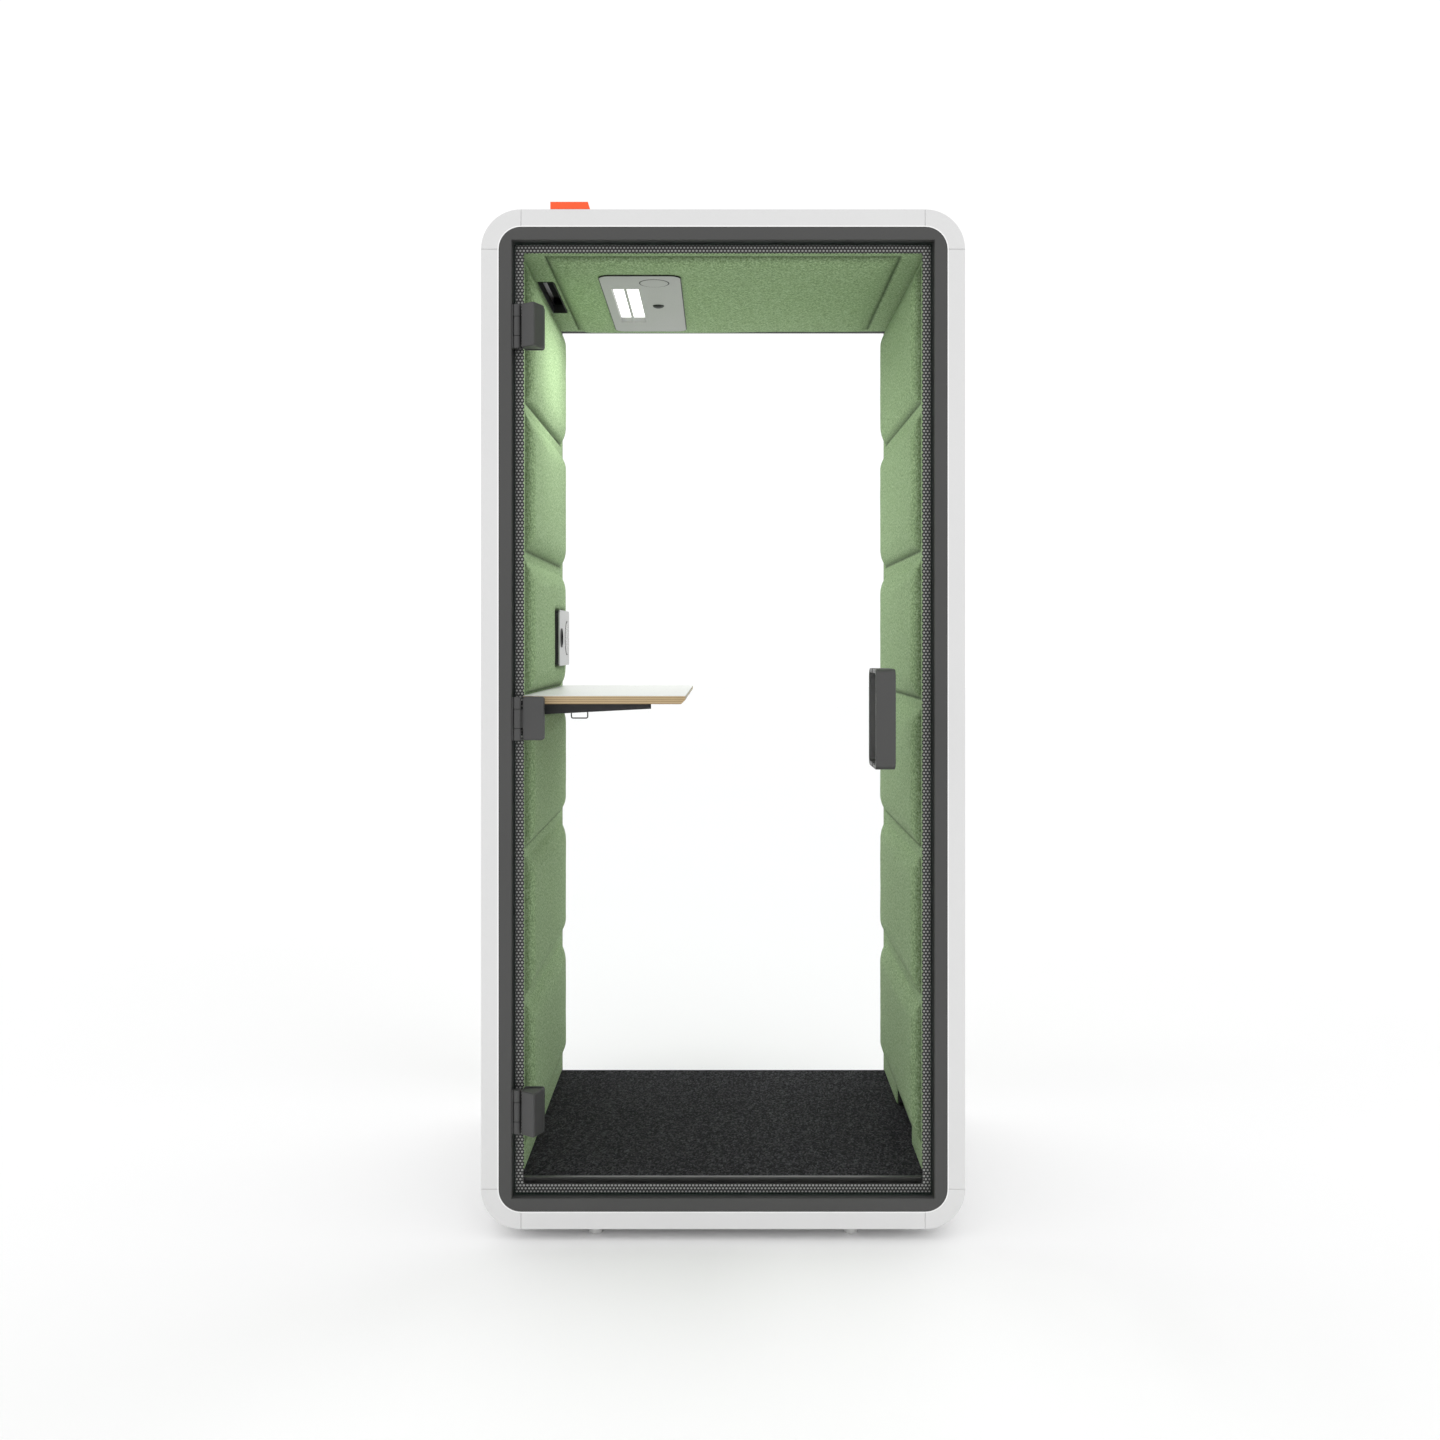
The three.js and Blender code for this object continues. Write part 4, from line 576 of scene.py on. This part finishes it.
def wall_pad(node, side, flats, holes):
    low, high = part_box(node)
    back = high[0] if side > 0 else low[0]
    across = [(low[1] + PAD_MARGIN, high[1] - PAD_MARGIN)]
    rows = wall_rows(low[2], high[2], flats)
    edges_u = [value for hole in holes for value in hole[:2]]
    edges_v = [value for hole in holes for value in hole[2:]]
    lines_u = stations(low[1], high[1], crease_marks(across) + edges_u)
    lines_v = stations(low[2], high[2], crease_marks(rows) + edges_v)
    pad, free, outwards = padded_sheet(
        node + "_cover", lines_u, lines_v, across, rows, CROWN, holes,
        lambda u, v, h: (back - side * h, u, v),
    )
    if side > 0:
        paint_hole_shade(pad, "intake_grille", LOOKS["black_plastic"])
    fill(pad, free, outwards, WALL_SWELL)
    finish_pad(pad, node)


def ceiling_pad():
    low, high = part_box("ceiling_pad")
    bands_x = [(low[0] + CEILING_SIDE, high[0] - CEILING_SIDE)]
    bands_y = [(low[1] + CEILING_END, high[1] - CEILING_END)]
    vent_low, vent_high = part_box("vent_duct")
    tray_low, tray_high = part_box("lamp_tray")
    plate_low, plate_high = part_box("service_plate")
    holes = [hole_round(vent_low, vent_high, COVER_GAP), hole_round(tray_low, tray_high, COVER_GAP)]
    edges_x = [value for hole in holes for value in hole[:2]]
    edges_y = [value for hole in holes for value in hole[2:]]
    lines_x = stations(low[0], high[0], crease_marks(bands_x) + edges_x)
    lines_y = stations(low[1], high[1], crease_marks(bands_y) + edges_y)
    pad, free, outwards = padded_sheet(
        "ceiling_cover", lines_x, lines_y, bands_x, bands_y, CEILING_CROWN, holes,
        lambda u, v, h: (u, v, high[2] - h),
    )
    left, right, front, back = hole_round(plate_low, plate_high, PLATE_MARGIN)
    spots = {index: pad.data.vertices[index].co for index in free}
    free -= {index for index, spot in spots.items() if left < spot.x < right and front < spot.y < back}
    fill(pad, free, outwards, CEILING_SWELL)
    finish_pad(pad, "ceiling_pad")


bracket_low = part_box("shelf_bracket_front")[0]
laminate_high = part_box("shelf_laminate")[1]
module_low, module_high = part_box("power_module_box")
intake_low, intake_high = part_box("intake_grille")
pad_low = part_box("right_wall_pad")[0]
wall_pad(
    "left_wall_pad", -1,
    [(bracket_low[2] - SHELF_ROOM, laminate_high[2] + SHELF_ROOM)],
    [hole_round(module_low[1:], module_high[1:], COVER_GAP)],
)
mouth_front, mouth_back, _, mouth_top = hole_round(intake_low[1:], intake_high[1:], MOUTH_GAP)
wall_pad("right_wall_pad", 1, [], [(mouth_front, mouth_back, pad_low[2] - MOUTH_DROP, mouth_top)])
ceiling_pad()


# Painted shade and highlight rings round flat pieces

# The points of a rounded rectangle, each with the way out from the edge there.
def rounded_outline(low, high, radius, steps=8):
    outline = []
    corners = (
        (high[0], high[1], -1, -1),
        (low[0], high[1], 1, -1),
        (low[0], low[1], 1, 1),
        (high[0], low[1], -1, 1),
    )
    for quarter, (x, y, to_x, to_y) in enumerate(corners):
        centre = Vector((x + to_x * radius, y + to_y * radius))
        for step in range(steps + 1):
            angle = (quarter + step / steps) * math.pi / 2
            out = Vector((math.cos(angle), math.sin(angle)))
            outline.append((centre + out * radius, out))
    return outline


def round_outline(low, high):
    return rounded_outline(low, high, (high[0] - low[0]) / 2)


# A thin ring just outside an outline, between two heights. The point function sets it on its face.
def flat_ring(name, outline, width, low, high, point, look):
    shape = bmesh.new()
    loops = []
    for grow, height in ((0.0, low), (width, low), (width, high), (0.0, high)):
        spots = [spot + out * grow for spot, out in outline]
        loops.append([shape.verts.new(point(spot.x, spot.y, height)) for spot in spots])
    for near, far in zip(loops, loops[1:] + loops[:1]):
        for i in range(len(outline)):
            shape.faces.new((near[i - 1], near[i], far[i], far[i - 1]))
    bmesh.ops.remove_doubles(shape, verts=shape.verts, dist=SKIN / 20)
    bmesh.ops.recalc_face_normals(shape, faces=shape.faces)
    mesh = bpy.data.meshes.new(name)
    shape.to_mesh(mesh)
    shape.free()
    mesh.materials.append(look)
    trim = bpy.data.objects.new(name, mesh)
    bpy.context.scene.collection.objects.link(trim)
    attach(trim, "pod")


def on_ceiling(x, y, z):
    return (x, y, z)


def on_wall(y, z, x):
    return (x, y, z)


def on_front(x, z, y):
    return (x, y, z)


# Painted shade: a black ring round a flat piece's outline.
def painted_shade_ring(name, outline, width, low, high, point):
    flat_ring(name, outline, width, low, high, point, LOOKS["black_plastic"])


# Painted highlight: a white ring just outside a frame's rounded outline, on the given front plane.
def painted_highlight_ring(name, node, y):
    low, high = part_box(node)
    outline = rounded_outline((low[0], low[2]), (high[0], high[2]), FRAME_RADIUS)
    flat_ring(name, outline, PAINTED_HIGHLIGHT_WIDTH, y - SKIN, y + SKIN, on_front, PAINTED_HIGHLIGHT_LOOK)


# Painted shade along the edge of the ceiling plate, round its round cover and round the charging disc
plate_low, plate_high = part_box("service_plate")
plate_outline = rounded_outline(plate_low, plate_high, PLATE_RADIUS)
plate_face = plate_low[2]
painted_shade_ring("plate_painted_shade", plate_outline, PLATE_PAINTED_SHADE, plate_face + SKIN, plate_high[2], on_ceiling)
cover_outline = round_outline(*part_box("round_cover"))
painted_shade_ring("cover_painted_shade", cover_outline, COVER_PAINTED_SHADE, plate_face - SKIN, plate_face + SKIN, on_ceiling)
disc_low, disc_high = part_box("charging_disc")
module_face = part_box("power_module_plate")[1][0]
disc_outline = round_outline(disc_low[1:], disc_high[1:])
painted_shade_ring("disc_painted_shade", disc_outline, DISC_PAINTED_SHADE, module_face - SKIN, module_face + SKIN, on_wall)
# Painted highlights along the shell's edge round the front and rear frames
roof_low, roof_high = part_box("roof_panel")
painted_highlight_ring("front_painted_highlight_ring", "front_frame", roof_low[1])
painted_highlight_ring("rear_painted_highlight_ring", "rear_frame", roof_high[1])


# Floor, light and camera

floor_material, floor_tree, floor_output = start("pale floor")
floor_shader = principled(floor_tree, floor_output, 0.6, Specular_IOR_Level=0.1)
floor_stops = [(0.3, (0.955, 0.955, 0.955)), (0.7, (0.965, 0.965, 0.965))]
floor_tone = ramp(floor_tree, cloud(floor_tree, 0.6), floor_stops)
floor_tree.links.new(floor_tone, floor_shader.inputs["Base Color"])
bpy.ops.mesh.primitive_plane_add(size=FLOOR_SIZE, location=(0, 0, -SKIN))
floor = bpy.context.object
floor.name = "studio_floor"
floor.data.materials.append(floor_material)

world = bpy.data.worlds.new("studio")
bpy.context.scene.world = world
world.use_nodes = True
world.node_tree.nodes["Background"].inputs["Color"].default_value = (1.0, 1.0, 1.0, 1.0)
world.node_tree.nodes["Background"].inputs["Strength"].default_value = DAYLIGHT


def soft_light(name, place_at, aim, size, power):
    light = bpy.data.lights.new(name, "AREA")
    light.shape = "RECTANGLE"
    light.size, light.size_y = size
    light.energy = power
    lamp = bpy.data.objects.new(name, light)
    lamp.location = place_at
    lamp.rotation_euler = (Vector(aim) - Vector(place_at)).to_track_quat("-Z", "Y").to_euler()
    lamp.visible_camera = False
    lamp.visible_glossy = False
    bpy.context.scene.collection.objects.link(lamp)


soft_light("front fill", (0.6, -3.6, 1.6), (0, 0, 1.2), (2.4, 2.2), 2.5)
soft_light("rear fill", (0.0, 0.85, 1.25), (0, -1.0, 1.25), (0.86, 2.0), 4.2)
soft_light("cabin lamp", (-0.2, 0.0515, 2.2), (-0.2, 0.0515, 0.0), (0.14, 0.42), 3.9)

lens = bpy.data.cameras.new("photo")
lens.sensor_width = SENSOR
lens.lens = LENS
lens.shift_x, lens.shift_y = LENS_SHIFT
camera = bpy.data.objects.new("photo", lens)
camera.location = CAMERA_AT
camera.rotation_euler = (math.pi / 2, 0.0, 0.0)
bpy.context.scene.collection.objects.link(camera)
bpy.context.scene.camera = camera
bpy.context.scene.view_settings.view_transform = "Standard"
